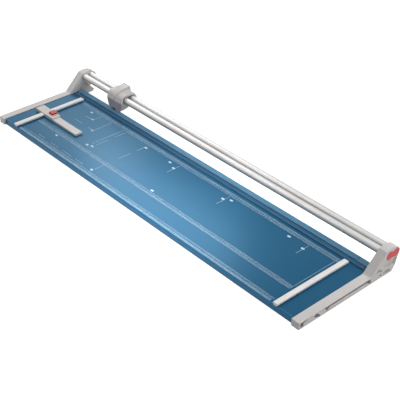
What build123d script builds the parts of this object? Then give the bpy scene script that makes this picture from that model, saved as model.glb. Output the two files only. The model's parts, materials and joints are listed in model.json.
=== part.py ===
from build123d import *

import os
from math import radians, sin, sqrt, tan

# Rolling paper trimmer: a round blade in a sliding head cuts along the rear edge of a table.
# Millimetres. X runs along the cut, Y from the user to the back, Z up. The origin is the
# middle of the footprint, on the surface that the rubber feet stand on.

# Overall
CUT_LENGTH = 1300.0
SIDE_MARGIN = 77.5
FOOT_HEIGHT = 2.0

# Gaps
RUN_GAP = 0.05
SEAT_GAP = 0.05
HOLE_GAP = 0.25
GUIDE_GAP = 0.4
TURN_GAP = 1.0

# Table, a steel plate on four rails
TABLE_SETBACK = 6.3
TABLE_DEPTH = 343.3
TABLE_RISE = 21.4
TABLE_SHEET = 1.5
RAIL_HEIGHT = 19.5
FRONT_RAIL = 14.0
REAR_RAIL = 24.0
END_RAIL = 12.0
EDGE_LIP = 5.0
EDGE_ROUND = 3.5
EDGE_FOLD = 10.4
EDGE_SEAM = 0.9

# Counter blade along the table's rear edge
COUNTER_THICK = 3.0
COUNTER_HEIGHT = 15.0
COUNTER_SCREWS = 7
COUNTER_SCREW_DROP = 9.0
COUNTER_HEAD_SINK = 0.4
COUNTER_SCREW_GRIP = 8.0

# Guide tubes
TUBE_RADIUS = 12.0
TUBE_WALL = 2.0
TUBE_SPACING = 27.5
TUBE_RISE = 49.6
TUBE_BEHIND_CUT = 13.4
SOCKET_DEPTH = 20.0
PLUG_LENGTH = 24.0

# End castings: a flat arm in front, a raked pillar behind
ARM_WIDTH = 30.0
ARM_HEIGHT = 23.7
CASTING_EDGE = 1.4
PILLAR_SLOPE = 44.4
PILLAR_KINK = 10.0
PILLAR_SHOULDER = 3.0
SHOULDER_AHEAD = 10.0
SHOULDER_RISE = 14.5
CROWN_RISE = 18.0
BACK_WALL = 24.5
BACK_DROP = 6.0
BACK_TOP_IN = 10.0
BACK_TOP_RISE = 10.0
HEEL_IN = 27.0
HEEL_TOP_IN = 14.0
HEEL_HEIGHT = 19.0

# Hollow under the tubes in a pillar's inner face, and the pointed heel below it
WAIST_DEPTH = 20.0
WAIST_FRONT_IN = 57.0
WAIST_FRONT_HEIGHT = 41.0
WAIST_IN = 36.0
WAIST_HEIGHT = 32.0
HEEL_TIP_IN = 14.0
HEEL_TIP_HEIGHT = 9.0
HEEL_SOLE_IN = 20.0
HEEL_WIDTH = 12.0

# Hollows in the castings' outer faces
GROOVE_DEPTH = 12.0
GROOVE_SKIN = 3.2
GROOVE_FLOOR = 5.0
GROOVE_CORNER = 1.2
SLOT_HEIGHT = 6.0
TOE_POCKET = 12.5
TOE_TAIL = 24.0
WEDGE_PLACE = 57.0
WEDGE_TOP = 12.0
WEDGE_LENGTH = 30.0
DIP_PLACE = 101.0
DIP_POINT = 12.0
DIP_LENGTH = 22.0
POCKET_DEPTH = 6.5
POCKET_DRAFT = 25.0
COVE_FRONT = 3.0
COVE_LENGTH = 44.0
COVE_BELOW_CAP = 3.5
COVE_FLOOR = 22.0
COVE_SLANT = 13.0
COVE_RISE = 9.0
FRONT_SCOOP_AHEAD = 36.0
FRONT_SCOOP_HALF = 12.0
FRONT_SCOOP_LOW = 24.0
FRONT_SCOOP_HIGH = 36.0
REAR_SCOOP_AHEAD = 2.0
REAR_SCOOP_HALF = 20.0
REAR_SCOOP_LOW = 6.0
REAR_SCOOP_HIGH = 19.0

# Red caps over the tube screws
CAP_LOBE = 14.4
CAP_NECK = 20.4
CAP_THICK = 3.0
CAP_SHIFT = 6.0
CAP_DROP = 6.0
CAP_GAP = 0.3

# Screws, by the radius of shank and head
TUBE_SCREW = 2.5
TUBE_SCREW_HEAD = 4.5
TUBE_SCREW_HEAD_HEIGHT = 3.0
TUBE_SCREW_LENGTH = 20.0
SMALL_SCREW = 1.8
SMALL_HEAD = 3.4
SMALL_HEAD_HEIGHT = 1.8
TABLE_SCREW_RISE = 12.3
TABLE_SCREW_FROM_KINK = 4.0
TABLE_SCREW_GRIP = 8.0

# Rubber feet
FOOT_RADIUS = 9.5
FOOT_SEAT = 2.0
FOOT_WEB = 1.2
FOOT_FRONT = 18.0
FOOT_REAR = 30.0
FOOT_SCREW_GRIP = 9.0

# Side stops, T-shaped bars square to the cut
BAR_WIDTH = 18.0
BAR_HEIGHT = 8.8
BAR_NECK = 12.0
BAR_NECK_HEIGHT = 3.0
BAR_CLEAR = 7.1
BAR_EDGE = 0.8
BAR_SCREW_END = 20.0
BAR_SCREW_GRIP = 5.0

# Clamp strip of clear plastic, held up by leaf springs
STRIP_LIFT = 1.5
STRIP_WIDTH = 40.0
STRIP_THICK = 1.4
STRIP_BACK = 1.2
STRIP_END_GAP = 2.5
RIB_TRACK_WIDTH = 21.0
RIB_TRACK_HEIGHT = 1.2
RIB_TRACK_END = 84.0
PIN_RADIUS = 3.0
PIN_HEAD = 5.0
PIN_HEAD_HEIGHT = 1.4
PIN_END = 22.0
PIN_TAIL = 5.0
LEAF_LENGTH = 26.0
LEAF_WIDTH = 8.0
LEAF_THICK = 0.3
LEAF_PLACE = 22.0

# Cutter head
HEAD_PARK = 213.9
HEAD_WIDTH = 82.0
HEAD_RADIUS = 22.0
NOSE_AHEAD = 26.0
NOSE_LEAN = 1.2
NOSE_LIP = 3.0
SPLIT_DROP = 5.0
LOWER_STRAIGHT = 10.0
LOWER_NARROW = 33.0
LOWER_NARROW_RISE = 7.0
LOWER_FLAT = 18.0
LOWER_BEND = 1.4
GUARD_THICK = 6.0
GUARD_SKIN = 1.8
GUARD_CLEAR = 0.6
GUARD_EDGE = 2.5
NOTCH_WIDTH = 21.0
NOTCH_HEIGHT = 8.0
NOTCH_SHIFT = -2.5
LOWER_REAR = 16.0
LOWER_SLOPE = 14.5
RECESS_WALL = 2.5
RECESS_DEPTH = 8.0
BUSH_WALL = 1.25
BUSH_LENGTH = 14.0
GUARD_SCREW_REACH = 31.0
GUARD_SCREW_RISE = 18.0
GUARD_SCREW_TIP = 2.5

# Grip ridge on the head, by cross-sections from its nose to its rear
RIDGE_STATIONS = (0.0, 0.1, 0.25, 0.5, 0.75, 1.0)
RIDGE_TOP = 38.5
RIDGE_TOE = 5.0
RIDGE_REAR = 11.5
RIDGE_HALF = 18.7
RIDGE_TIP = 3.6
RIDGE_FLARE = 10.5
RIDGE_TIP_FLARE = 2.0
RIDGE_HOLLOW = 0.3
RIDGE_SINK = 1.5

# Round blade, its hub and the press roller in front of it
BLADE_RADIUS = 26.0
BLADE_THICK = 1.0
BLADE_LAND = 0.2
BLADE_BEVEL = 2.2
BLADE_GAP = 0.08
BLADE_DIP = 6.9
BLADE_BORE = 6.0
HUB_FLANGE = 11.0
HUB_FLANGE_THICK = 2.6
NUT_RADIUS = 10.0
NUT_THICK = 2.6
AXLE_RADIUS = 4.0
AXLE_SEAT = 8.0
SPRING_LENGTH = 8.0
SPRING_RADIUS = 6.4
SPRING_WIRE = 1.2
ROLLER_GAP = 0.3
ROLLER_WIDTH = 6.0
ROLLER_CORE = 9.0

# Back stop on the left bar
STOP_FRONT = 124.0
SADDLE_LEFT = 38.0
SADDLE_RIGHT = 53.0
SADDLE_DEPTH = 36.0
SADDLE_HEIGHT = 12.6
SADDLE_EDGE = 1.0
ARM_REACH = 141.0
ARM_DEPTH = 30.0
ARM_THICK = 8.6
TONGUE_LENGTH = 14.0
TONGUE_DEPTH = 18.0
TONGUE_THICK = 4.0
TONGUE_GAP = 0.1
PAD_LENGTH = 16.0
PAD_WIDTH = 10.0
PAD_THICK = 2.0
BUTTON_LENGTH = 22.5
BUTTON_DEPTH = 24.0
BUTTON_PROUD = 6.5
BUTTON_SKIRT = 2.0
BUTTON_TRAVEL = 3.0
BUTTON_EDGE = 1.8
BUTTON_FROM_BAR = 24.0
BUTTON_BACK = 6.0
RIM_WALL = 1.8
RIM_HEIGHT = 1.6
STEM_RADIUS = 3.5
STEM_LENGTH = 3.5
LOCK_BORE = 6.5
LOCK_BORE_DEPTH = 4.6

# Places worked out from the sizes above
CASTING_BASE = FOOT_HEIGHT
TABLE_TOP = CASTING_BASE + TABLE_RISE
ARM_TOP = CASTING_BASE + ARM_HEIGHT
TUBE_Z = TABLE_TOP + TUBE_RISE
DEPTH = TABLE_SETBACK + TABLE_DEPTH + COUNTER_THICK + TUBE_BEHIND_CUT + TUBE_SPACING + BACK_WALL
FRONT = -DEPTH / 2
BACK = DEPTH / 2
TABLE_FRONT = FRONT + TABLE_SETBACK
TABLE_REAR = TABLE_FRONT + TABLE_DEPTH
CUT_Y = TABLE_REAR + COUNTER_THICK
FRONT_TUBE_Y = CUT_Y + TUBE_BEHIND_CUT
REAR_TUBE_Y = FRONT_TUBE_Y + TUBE_SPACING
TUBE_Y = (FRONT_TUBE_Y, REAR_TUBE_Y)
INNER_X = CUT_LENGTH / 2 + SIDE_MARGIN
OUTER_X = INNER_X + ARM_WIDTH
RAIL_TOP = TABLE_TOP - TABLE_SHEET
RAIL_BOTTOM = RAIL_TOP - RAIL_HEIGHT
BAR_X = CUT_LENGTH / 2 + BAR_WIDTH / 2
BAR_FRONT = TABLE_FRONT
STRIP_BOTTOM = TABLE_TOP + STRIP_LIFT
STRIP_TOP = STRIP_BOTTOM + STRIP_THICK
TRACK_TOP = STRIP_TOP + RIB_TRACK_HEIGHT
STRIP_REAR = TABLE_REAR - STRIP_BACK
STRIP_FRONT = STRIP_REAR - STRIP_WIDTH
STRIP_END = INNER_X - STRIP_END_GAP
BAR_REAR = STRIP_FRONT - BAR_CLEAR
PIN_X = INNER_X - PIN_END
PIN_Y = (STRIP_FRONT + STRIP_REAR - RIB_TRACK_WIDTH) / 2
HEAD_X = -INNER_X + HEAD_PARK
HEAD_FRONT = FRONT_TUBE_Y - NOSE_AHEAD
SPLIT_Z = TUBE_Z - SPLIT_DROP
GUARD_BOTTOM = TRACK_TOP + GUARD_CLEAR
BLADE_Z = TABLE_TOP - BLADE_DIP + BLADE_RADIUS
BLADE_FRONT = CUT_Y + BLADE_GAP
BLADE_REAR = BLADE_FRONT + BLADE_THICK
ROLLER_RADIUS = BLADE_Z - TRACK_TOP - ROLLER_GAP
ROLLER_FRONT = HEAD_FRONT + GUARD_SKIN + TURN_GAP / 2
ROLLER_REAR = ROLLER_FRONT + ROLLER_WIDTH
SPRING_SEAT = BLADE_REAR + HUB_FLANGE_THICK + SPRING_LENGTH
STOP_Y = FRONT + STOP_FRONT
SADDLE_X0 = -BAR_X - BAR_WIDTH / 2 - SADDLE_LEFT
SADDLE_X1 = -BAR_X + BAR_WIDTH / 2 + SADDLE_RIGHT
SADDLE_BOTTOM = TABLE_TOP + GUIDE_GAP
SADDLE_TOP = TABLE_TOP + SADDLE_HEIGHT
RIM_TOP = SADDLE_TOP + RIM_HEIGHT
BUTTON_X = -BAR_X + BAR_WIDTH / 2 + BUTTON_FROM_BAR
BUTTON_Y = STOP_Y + SADDLE_DEPTH / 2 + BUTTON_BACK
BUTTON_BOTTOM = RIM_TOP - BUTTON_SKIRT
BUTTON_FLOOR = BUTTON_BOTTOM - BUTTON_TRAVEL - GUIDE_GAP
BUTTON_WELL = BUTTON_FLOOR - LOCK_BORE_DEPTH


def along_x(face, start, end):
    """A face drawn in Y and Z, carried from start to end along X."""
    return extrude(Plane.YZ.offset(start) * face, end - start)


def along_y(face, start, end):
    """A face drawn in X and Z, carried from start to end along Y."""
    return extrude(Plane.XZ.offset(-start) * face, start - end)


def along_z(face, start, end):
    """A face drawn in X and Y, carried from start to end along Z."""
    return extrude(Plane.XY.offset(start) * face, end - start)


def rod_x(y, z, radius, start, end):
    return along_x(Pos(y, z) * Circle(radius), start, end)


def rod_y(x, z, radius, start, end):
    return along_y(Pos(x, z) * Circle(radius), start, end)


def rod_z(x, y, radius, start, end):
    return along_z(Pos(x, y) * Circle(radius), start, end)


def block(x0, x1, y0, y1, z0, z1):
    return along_z(Pos((x0 + x1) / 2, (y0 + y1) / 2) * Rectangle(x1 - x0, y1 - y0), z0, z1)


def turned(points, x, z):
    """A profile of (Y, radius) points turned about the line along Y through x and z."""
    profile = make_face(Polyline(*[(y, z + radius) for y, radius in points], close=True))
    return revolve(Plane.YZ.offset(x) * profile, Axis((x, 0, z), (0, 1, 0)))


def corner(face, place):
    """The corner of a flat face that lies nearest to a place."""
    return face.vertices().sort_by_distance((place[0], place[1], 0))[0]


def rounded_polygon(points, radius):
    face = make_face(Polyline(*points, close=True))
    return fillet(face.vertices(), radius)


def tube_slot(radius):
    """An outline round both guide tubes, drawn in Y and Z."""
    middle = (FRONT_TUBE_Y + REAR_TUBE_Y) / 2
    return Pos(middle, TUBE_Z) * SlotCenterToCenter(TUBE_SPACING, 2 * radius)


def both_ends(piece):
    return [piece, mirror(piece, about=Plane.YZ)]


# End castings

def pillar_shoulder():
    return (FRONT_TUBE_Y - SHOULDER_AHEAD, TUBE_Z + SHOULDER_RISE)


def pillar_kink():
    """Where the pillar's raked front leaves the arm's top."""
    y, z = pillar_shoulder()
    return (y - (z - ARM_TOP) / tan(radians(PILLAR_SLOPE)), ARM_TOP)


def casting_outline():
    """Side view of a casting: arm, raked front, domed crown, overhanging back and heel."""
    shoulder = pillar_shoulder()
    kink = pillar_kink()
    crown = ((FRONT_TUBE_Y + REAR_TUBE_Y) / 2, TUBE_Z + CROWN_RISE)
    back_top = (BACK - BACK_TOP_IN, TUBE_Z + BACK_TOP_RISE)
    back = (BACK, TUBE_Z - BACK_DROP)
    heel_top = (BACK - HEEL_TOP_IN, CASTING_BASE + HEEL_HEIGHT)
    heel = (BACK - HEEL_IN, CASTING_BASE)
    toe = (FRONT, CASTING_BASE)
    toe_top = (FRONT, ARM_TOP)
    edges = [
        Polyline(back, heel_top, heel, toe, toe_top, kink, shoulder),
        ThreePointArc(shoulder, crown, back_top),
        TangentArc(back, back_top, tangent=(0, 1)),
    ]
    face = make_face(edges)
    face = fillet(corner(face, kink), PILLAR_KINK)
    return fillet(corner(face, shoulder), PILLAR_SHOULDER)


def cap_outline(gap):
    """A lobe over each tube screw, drawn in between them by arcs that are tangent to both lobes."""
    middle = (FRONT_TUBE_Y + REAR_TUBE_Y) / 2 + CAP_SHIFT
    reach = TUBE_SPACING / 2
    lobe = CAP_LOBE + gap
    neck = CAP_NECK / 2 + gap
    hollow = (reach ** 2 + neck ** 2 - lobe ** 2) / (2 * (lobe - neck))
    share = lobe / (lobe + hollow)
    y = reach * (1 - share)
    z = (neck + hollow) * share
    edges = [
        ThreePointArc((y, z), (reach + lobe, 0), (y, -z)),
        ThreePointArc((y, -z), (0, -neck), (-y, -z)),
        ThreePointArc((-y, -z), (-reach - lobe, 0), (-y, z)),
        ThreePointArc((-y, z), (0, neck), (y, z)),
    ]
    return Pos(middle, TUBE_Z - CAP_DROP) * make_face(edges)


def arm_grooves():
    """Hollows in the arm's outer face: a toe pocket, a wedge, and a slot with a dip at each end."""
    top = ARM_TOP - GROOVE_SKIN
    low = CASTING_BASE + GROOVE_FLOOR
    slot = top - SLOT_HEIGHT
    toe = FRONT + GROOVE_FLOOR
    tail = toe + TOE_POCKET
    wedge = FRONT + WEDGE_PLACE
    dip = FRONT + DIP_PLACE
    rear = pillar_kink()[0]
    outlines = [
        [(toe, low), (tail, low), (tail, slot), (tail + TOE_TAIL, top), (toe, top)],
        [(wedge, slot), (wedge + WEDGE_TOP, low), (wedge + WEDGE_LENGTH, low), (wedge + WEDGE_TOP, top)],
        [(dip, top), (dip + DIP_POINT, low), (dip + DIP_LENGTH, slot), (rear - DIP_LENGTH, slot),
         (rear + DIP_POINT / 2, low), (rear, top)],
    ]
    return [rounded_polygon(points, GROOVE_CORNER) for points in outlines]


def scoop(middle, half, low, high):
    """An arched hollow with a flat floor."""
    arch = ThreePointArc((middle - half, low), (middle, high), (middle + half, low))
    return make_face([arch, Line(arch @ 1, arch @ 0)])


def pillar_pockets():
    """Hollows in the pillar's outer face: a cove below the cap and two scoops above the foot."""
    top = TUBE_Z - CAP_DROP - CAP_LOBE - COVE_BELOW_CAP
    floor = CASTING_BASE + COVE_FLOOR
    front = FRONT_TUBE_Y - COVE_FRONT
    rear = front + COVE_LENGTH
    cove = [
        (front, top), (front - COVE_SLANT, floor + COVE_RISE), (front + COVE_SLANT, floor),
        (rear - COVE_SLANT / 2, floor), (rear, top),
    ]
    front_scoop = scoop(FRONT_TUBE_Y - FRONT_SCOOP_AHEAD, FRONT_SCOOP_HALF,
                        CASTING_BASE + FRONT_SCOOP_LOW, CASTING_BASE + FRONT_SCOOP_HIGH)
    rear_scoop = scoop(FRONT_TUBE_Y - REAR_SCOOP_AHEAD, REAR_SCOOP_HALF,
                       CASTING_BASE + REAR_SCOOP_LOW, CASTING_BASE + REAR_SCOOP_HIGH)
    return [make_face(Polyline(*cove, close=True)), front_scoop, rear_scoop]


def waist_floor():
    """The floor of the hollow under the tubes, from the heel's tip forwards."""
    return [
        (BACK - HEEL_TIP_IN, CASTING_BASE + HEEL_TIP_HEIGHT),
        (BACK - WAIST_IN, CASTING_BASE + WAIST_HEIGHT),
        (BACK - WAIST_FRONT_IN, CASTING_BASE + WAIST_FRONT_HEIGHT),
    ]


def table_screw_places():
    """Y places of the screws from a casting into the ends of the rails and an end rail."""
    return (
        TABLE_FRONT + FRONT_RAIL / 2,
        pillar_kink()[0] - TABLE_SCREW_FROM_KINK,
        TABLE_REAR - REAR_RAIL / 2,
    )


def foot_places():
    return (FRONT + FOOT_FRONT, BACK - HEEL_IN - FOOT_REAR / 2)


TABLE_SCREW_Z = CASTING_BASE + TABLE_SCREW_RISE
FOOT_X = OUTER_X - ARM_WIDTH / 2


def right_casting():
    body = along_x(casting_outline(), INNER_X, OUTER_X)
    body = fillet(body.faces().sort_by(Axis.X)[-1].edges(), CASTING_EDGE)
    body = fillet(body.faces().sort_by(Axis.X)[0].edges(), CASTING_EDGE)
    for y in TUBE_Y:
        body -= rod_x(y, TUBE_Z, TUBE_RADIUS + SEAT_GAP, INNER_X, INNER_X + SOCKET_DEPTH)
        body -= rod_x(y, TUBE_Z, TUBE_SCREW + HOLE_GAP, INNER_X, OUTER_X)
    head_room = CAP_THICK + TUBE_SCREW_HEAD_HEIGHT + HOLE_GAP
    body -= along_x(cap_outline(CAP_GAP), OUTER_X - CAP_THICK, OUTER_X)
    for y in TUBE_Y:
        body -= rod_x(y, TUBE_Z, TUBE_SCREW_HEAD + HOLE_GAP, OUTER_X - head_room, OUTER_X - CAP_THICK)
    for outline in arm_grooves():
        body -= along_x(outline, OUTER_X - GROOVE_DEPTH, OUTER_X)
    for outline in pillar_pockets():
        face = Plane.YZ.offset(OUTER_X) * outline
        body -= extrude(face, POCKET_DEPTH, dir=(-1, 0, 0), taper=POCKET_DRAFT)
    roof = TUBE_Z - TUBE_RADIUS - RECESS_WALL
    floor = waist_floor()
    waist = [*floor, (floor[-1][0], roof), (BACK + HOLE_GAP, roof), (BACK + HOLE_GAP, floor[0][1])]
    body -= along_x(make_face(Polyline(*waist, close=True)), INNER_X, INNER_X + WAIST_DEPTH)
    heel = [floor[0], floor[1], (floor[1][0], CASTING_BASE), (BACK - HEEL_SOLE_IN, CASTING_BASE)]
    body += along_x(make_face(Polyline(*heel, close=True)), INNER_X, INNER_X + HEEL_WIDTH)
    for y in table_screw_places():
        body -= rod_x(y, TABLE_SCREW_Z, SMALL_SCREW + HOLE_GAP, INNER_X, OUTER_X)
        body -= rod_x(y, TABLE_SCREW_Z, SMALL_HEAD + HOLE_GAP, OUTER_X - GROOVE_DEPTH, OUTER_X)
    for y in foot_places():
        body -= rod_z(FOOT_X, y, FOOT_RADIUS + SEAT_GAP, CASTING_BASE, CASTING_BASE + FOOT_SEAT)
        body -= rod_z(FOOT_X, y, SMALL_SCREW + SEAT_GAP, CASTING_BASE, CASTING_BASE + FOOT_SCREW_GRIP)
    return body


def right_cap():
    cap = along_x(cap_outline(0), OUTER_X - CAP_THICK, OUTER_X)
    return fillet(cap.faces().sort_by(Axis.X)[-1].edges(), CASTING_EDGE)


def right_tube_screws():
    screws = []
    seat = OUTER_X - CAP_THICK - HOLE_GAP - TUBE_SCREW_HEAD_HEIGHT
    for y in TUBE_Y:
        head = rod_x(y, TUBE_Z, TUBE_SCREW_HEAD, seat, seat + TUBE_SCREW_HEAD_HEIGHT)
        screws.append(head + rod_x(y, TUBE_Z, TUBE_SCREW, seat - TUBE_SCREW_LENGTH, seat))
    return screws


def right_tube_plugs():
    plugs = []
    end = INNER_X + SOCKET_DEPTH
    for y in TUBE_Y:
        plug = rod_x(y, TUBE_Z, TUBE_RADIUS - TUBE_WALL - SEAT_GAP, end - PLUG_LENGTH, end)
        plugs.append(plug - rod_x(y, TUBE_Z, TUBE_SCREW + SEAT_GAP, end - PLUG_LENGTH, end))
    return plugs


def right_table_screws():
    screws = []
    seat = OUTER_X - GROOVE_DEPTH
    for y in table_screw_places():
        head = rod_x(y, TABLE_SCREW_Z, SMALL_HEAD, seat, seat + SMALL_HEAD_HEIGHT)
        screws.append(head + rod_x(y, TABLE_SCREW_Z, SMALL_SCREW, INNER_X - TABLE_SCREW_GRIP, seat))
    return screws


def right_feet():
    feet = []
    top = CASTING_BASE + FOOT_SEAT
    for y in foot_places():
        foot = rod_z(FOOT_X, y, FOOT_RADIUS, 0, top)
        foot -= rod_z(FOOT_X, y, SMALL_SCREW + HOLE_GAP, 0, top)
        feet.append(foot - rod_z(FOOT_X, y, SMALL_HEAD + HOLE_GAP, 0, top - FOOT_WEB))
    return feet


def right_foot_screws():
    screws = []
    seat = CASTING_BASE + FOOT_SEAT - FOOT_WEB
    for y in foot_places():
        head = rod_z(FOOT_X, y, SMALL_HEAD, seat - SMALL_HEAD_HEIGHT, seat)
        screws.append(head + rod_z(FOOT_X, y, SMALL_SCREW, seat, CASTING_BASE + FOOT_SCREW_GRIP))
    return screws


def guide_tube(y):
    ring = Circle(TUBE_RADIUS) - Circle(TUBE_RADIUS - TUBE_WALL)
    end = INNER_X + SOCKET_DEPTH
    return along_x(Pos(y, TUBE_Z) * ring, -end, end)


# Table and what is fixed to it

def counter_screw_places():
    pitch = 2 * INNER_X / COUNTER_SCREWS
    return [-INNER_X + pitch * (count + 0.5) for count in range(COUNTER_SCREWS)]


def bar_screw_places():
    ends = (BAR_FRONT + BAR_SCREW_END, BAR_REAR - BAR_SCREW_END)
    return [(side * BAR_X, y) for side in (-1, 1) for y in (ends[0], sum(ends) / 2, ends[1])]


COUNTER_SCREW_Z = TABLE_TOP - COUNTER_SCREW_DROP
PIN_PLACES = [(side * PIN_X, PIN_Y) for side in (-1, 1)]


def table_plate():
    plate = block(-INNER_X, INNER_X, TABLE_FRONT + EDGE_LIP, TABLE_REAR, RAIL_TOP, TABLE_TOP)
    for x, y in bar_screw_places():
        plate -= rod_z(x, y, SMALL_SCREW + HOLE_GAP, RAIL_TOP, TABLE_TOP)
    for x, y in PIN_PLACES:
        plate -= rod_z(x, y, PIN_RADIUS + SEAT_GAP, RAIL_TOP, TABLE_TOP)
    return plate


def rail_end_holes(y):
    """Screw holes in both ends of what lies along X at this depth."""
    hole = rod_x(y, TABLE_SCREW_Z, SMALL_SCREW + SEAT_GAP, INNER_X - TABLE_SCREW_GRIP - HOLE_GAP, INNER_X)
    return both_ends(hole)


def front_rail():
    """The table's front edge: a rail with a rounded lip that the plate butts against, and a seam."""
    seam = TABLE_TOP - EDGE_FOLD
    lip = [
        (TABLE_FRONT, RAIL_BOTTOM), (TABLE_FRONT + FRONT_RAIL, RAIL_BOTTOM),
        (TABLE_FRONT + FRONT_RAIL, RAIL_TOP), (TABLE_FRONT + EDGE_LIP, RAIL_TOP),
        (TABLE_FRONT + EDGE_LIP, TABLE_TOP), (TABLE_FRONT, TABLE_TOP),
        (TABLE_FRONT, seam), (TABLE_FRONT + EDGE_SEAM, seam),
        (TABLE_FRONT + EDGE_SEAM, seam - EDGE_SEAM), (TABLE_FRONT, seam - EDGE_SEAM),
    ]
    outline = make_face(Polyline(*lip, close=True))
    outline = fillet(corner(outline, (TABLE_FRONT, TABLE_TOP)), EDGE_ROUND)
    return along_x(outline, -INNER_X, INNER_X) - rail_end_holes(table_screw_places()[0])


def rear_rail():
    rail = block(-INNER_X, INNER_X, TABLE_REAR - REAR_RAIL, TABLE_REAR, RAIL_BOTTOM, RAIL_TOP)
    rail -= rail_end_holes(table_screw_places()[2])
    for x in counter_screw_places():
        tip = TABLE_REAR - COUNTER_SCREW_GRIP - HOLE_GAP
        rail -= rod_y(x, COUNTER_SCREW_Z, SMALL_SCREW + SEAT_GAP, tip, TABLE_REAR)
    return rail


def right_end_rail():
    front = TABLE_FRONT + FRONT_RAIL
    rear = TABLE_REAR - REAR_RAIL
    rail = block(INNER_X - END_RAIL, INNER_X, front, rear, RAIL_BOTTOM, RAIL_TOP)
    return rail - rail_end_holes(table_screw_places()[1])


def counter_blade():
    low = TABLE_TOP - COUNTER_HEIGHT
    blade = block(-INNER_X, INNER_X, TABLE_REAR, CUT_Y, low, TABLE_TOP)
    for x in counter_screw_places():
        sink = CUT_Y - COUNTER_HEAD_SINK - SMALL_HEAD_HEIGHT
        blade -= rod_y(x, COUNTER_SCREW_Z, SMALL_SCREW + HOLE_GAP, TABLE_REAR, CUT_Y)
        blade -= rod_y(x, COUNTER_SCREW_Z, SMALL_HEAD + HOLE_GAP, sink, CUT_Y)
    return blade


def counter_blade_screws():
    screws = []
    seat = CUT_Y - COUNTER_HEAD_SINK - SMALL_HEAD_HEIGHT
    for x in counter_screw_places():
        head = rod_y(x, COUNTER_SCREW_Z, SMALL_HEAD, seat, seat + SMALL_HEAD_HEIGHT)
        tip = TABLE_REAR - COUNTER_SCREW_GRIP
        screws.append(head + rod_y(x, COUNTER_SCREW_Z, SMALL_SCREW, tip, seat))
    return screws


def bar_outline(gap):
    """T-shaped end view of a side stop, in X and Z about the bar's middle line."""
    neck = BAR_NECK / 2 + gap
    head = BAR_WIDTH / 2 + gap
    step = TABLE_TOP + BAR_NECK_HEIGHT - gap
    top = TABLE_TOP + BAR_HEIGHT + gap
    points = [
        (-neck, TABLE_TOP), (neck, TABLE_TOP), (neck, step), (head, step),
        (head, top), (-head, top), (-head, step), (-neck, step),
    ]
    return make_face(Polyline(*points, close=True))


def side_stop(side):
    bar = along_y(Pos(side * BAR_X, 0) * bar_outline(0), BAR_FRONT, BAR_REAR)
    bar = chamfer(bar.faces().sort_by(Axis.Z)[-1].edges(), BAR_EDGE)
    for x, y in bar_screw_places():
        if x * side > 0:
            bar -= rod_z(x, y, SMALL_SCREW + SEAT_GAP, TABLE_TOP, TABLE_TOP + BAR_SCREW_GRIP + HOLE_GAP)
    return bar


def side_stop_screws():
    screws = []
    seat = RAIL_TOP
    for x, y in bar_screw_places():
        head = rod_z(x, y, SMALL_HEAD, seat - SMALL_HEAD_HEIGHT, seat)
        screws.append(head + rod_z(x, y, SMALL_SCREW, seat, TABLE_TOP + BAR_SCREW_GRIP))
    return screws


# Clamp strip

def clamp_strip():
    strip = block(-STRIP_END, STRIP_END, STRIP_FRONT, STRIP_REAR, STRIP_BOTTOM, STRIP_TOP)
    track_end = OUTER_X - RIB_TRACK_END
    track_front = STRIP_REAR - RIB_TRACK_WIDTH
    strip += block(-track_end, track_end, track_front, STRIP_REAR, STRIP_TOP, TRACK_TOP)
    for x, y in PIN_PLACES:
        strip -= rod_z(x, y, PIN_RADIUS + GUIDE_GAP, STRIP_BOTTOM, STRIP_TOP)
    return strip


def clamp_pins():
    pins = []
    head_low = STRIP_TOP + GUIDE_GAP
    for x, y in PIN_PLACES:
        head = rod_z(x, y, PIN_HEAD, head_low, head_low + PIN_HEAD_HEIGHT)
        pins.append(head + rod_z(x, y, PIN_RADIUS, RAIL_TOP - PIN_TAIL, head_low))
    return pins


def clamp_leaf(side):
    """A bowed leaf whose ends rest on the table and whose middle carries the strip."""
    rise = STRIP_LIFT - LEAF_THICK - GUIDE_GAP / 4
    half = LEAF_LENGTH / 2
    low = ThreePointArc((-half, TABLE_TOP), (0, TABLE_TOP + rise), (half, TABLE_TOP))
    high_ends = TABLE_TOP + LEAF_THICK
    high = ThreePointArc((-half, high_ends), (0, high_ends + rise), (half, high_ends))
    ends = [Line(low @ 0, high @ 0), Line(low @ 1, high @ 1)]
    x = side * (PIN_X - LEAF_PLACE)
    return along_y(Pos(x, 0) * make_face([low, high, *ends]), PIN_Y - LEAF_WIDTH / 2, PIN_Y + LEAF_WIDTH / 2)


# Cutter head

def lower_outline():
    """Front view of the head below the split: straight sides drawn in to a round bottom."""
    half = HEAD_WIDTH / 2
    straight = SPLIT_Z - LOWER_STRAIGHT
    narrow_z = GUARD_BOTTOM + LOWER_NARROW_RISE
    bend = LOWER_BEND
    bend_x = (LOWER_NARROW + LOWER_FLAT) / 2 + bend
    bend_z = GUARD_BOTTOM + bend
    edges = [
        Polyline((-LOWER_NARROW, narrow_z), (-half, straight), (-half, SPLIT_Z), (half, SPLIT_Z),
                 (half, straight), (LOWER_NARROW, narrow_z)),
        ThreePointArc((LOWER_NARROW, narrow_z), (bend_x, bend_z), (LOWER_FLAT, GUARD_BOTTOM)),
        Line((LOWER_FLAT, GUARD_BOTTOM), (-LOWER_FLAT, GUARD_BOTTOM)),
        ThreePointArc((-LOWER_FLAT, GUARD_BOTTOM), (-bend_x, bend_z), (-LOWER_NARROW, narrow_z)),
    ]
    return Pos(HEAD_X, 0) * make_face(edges)


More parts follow.
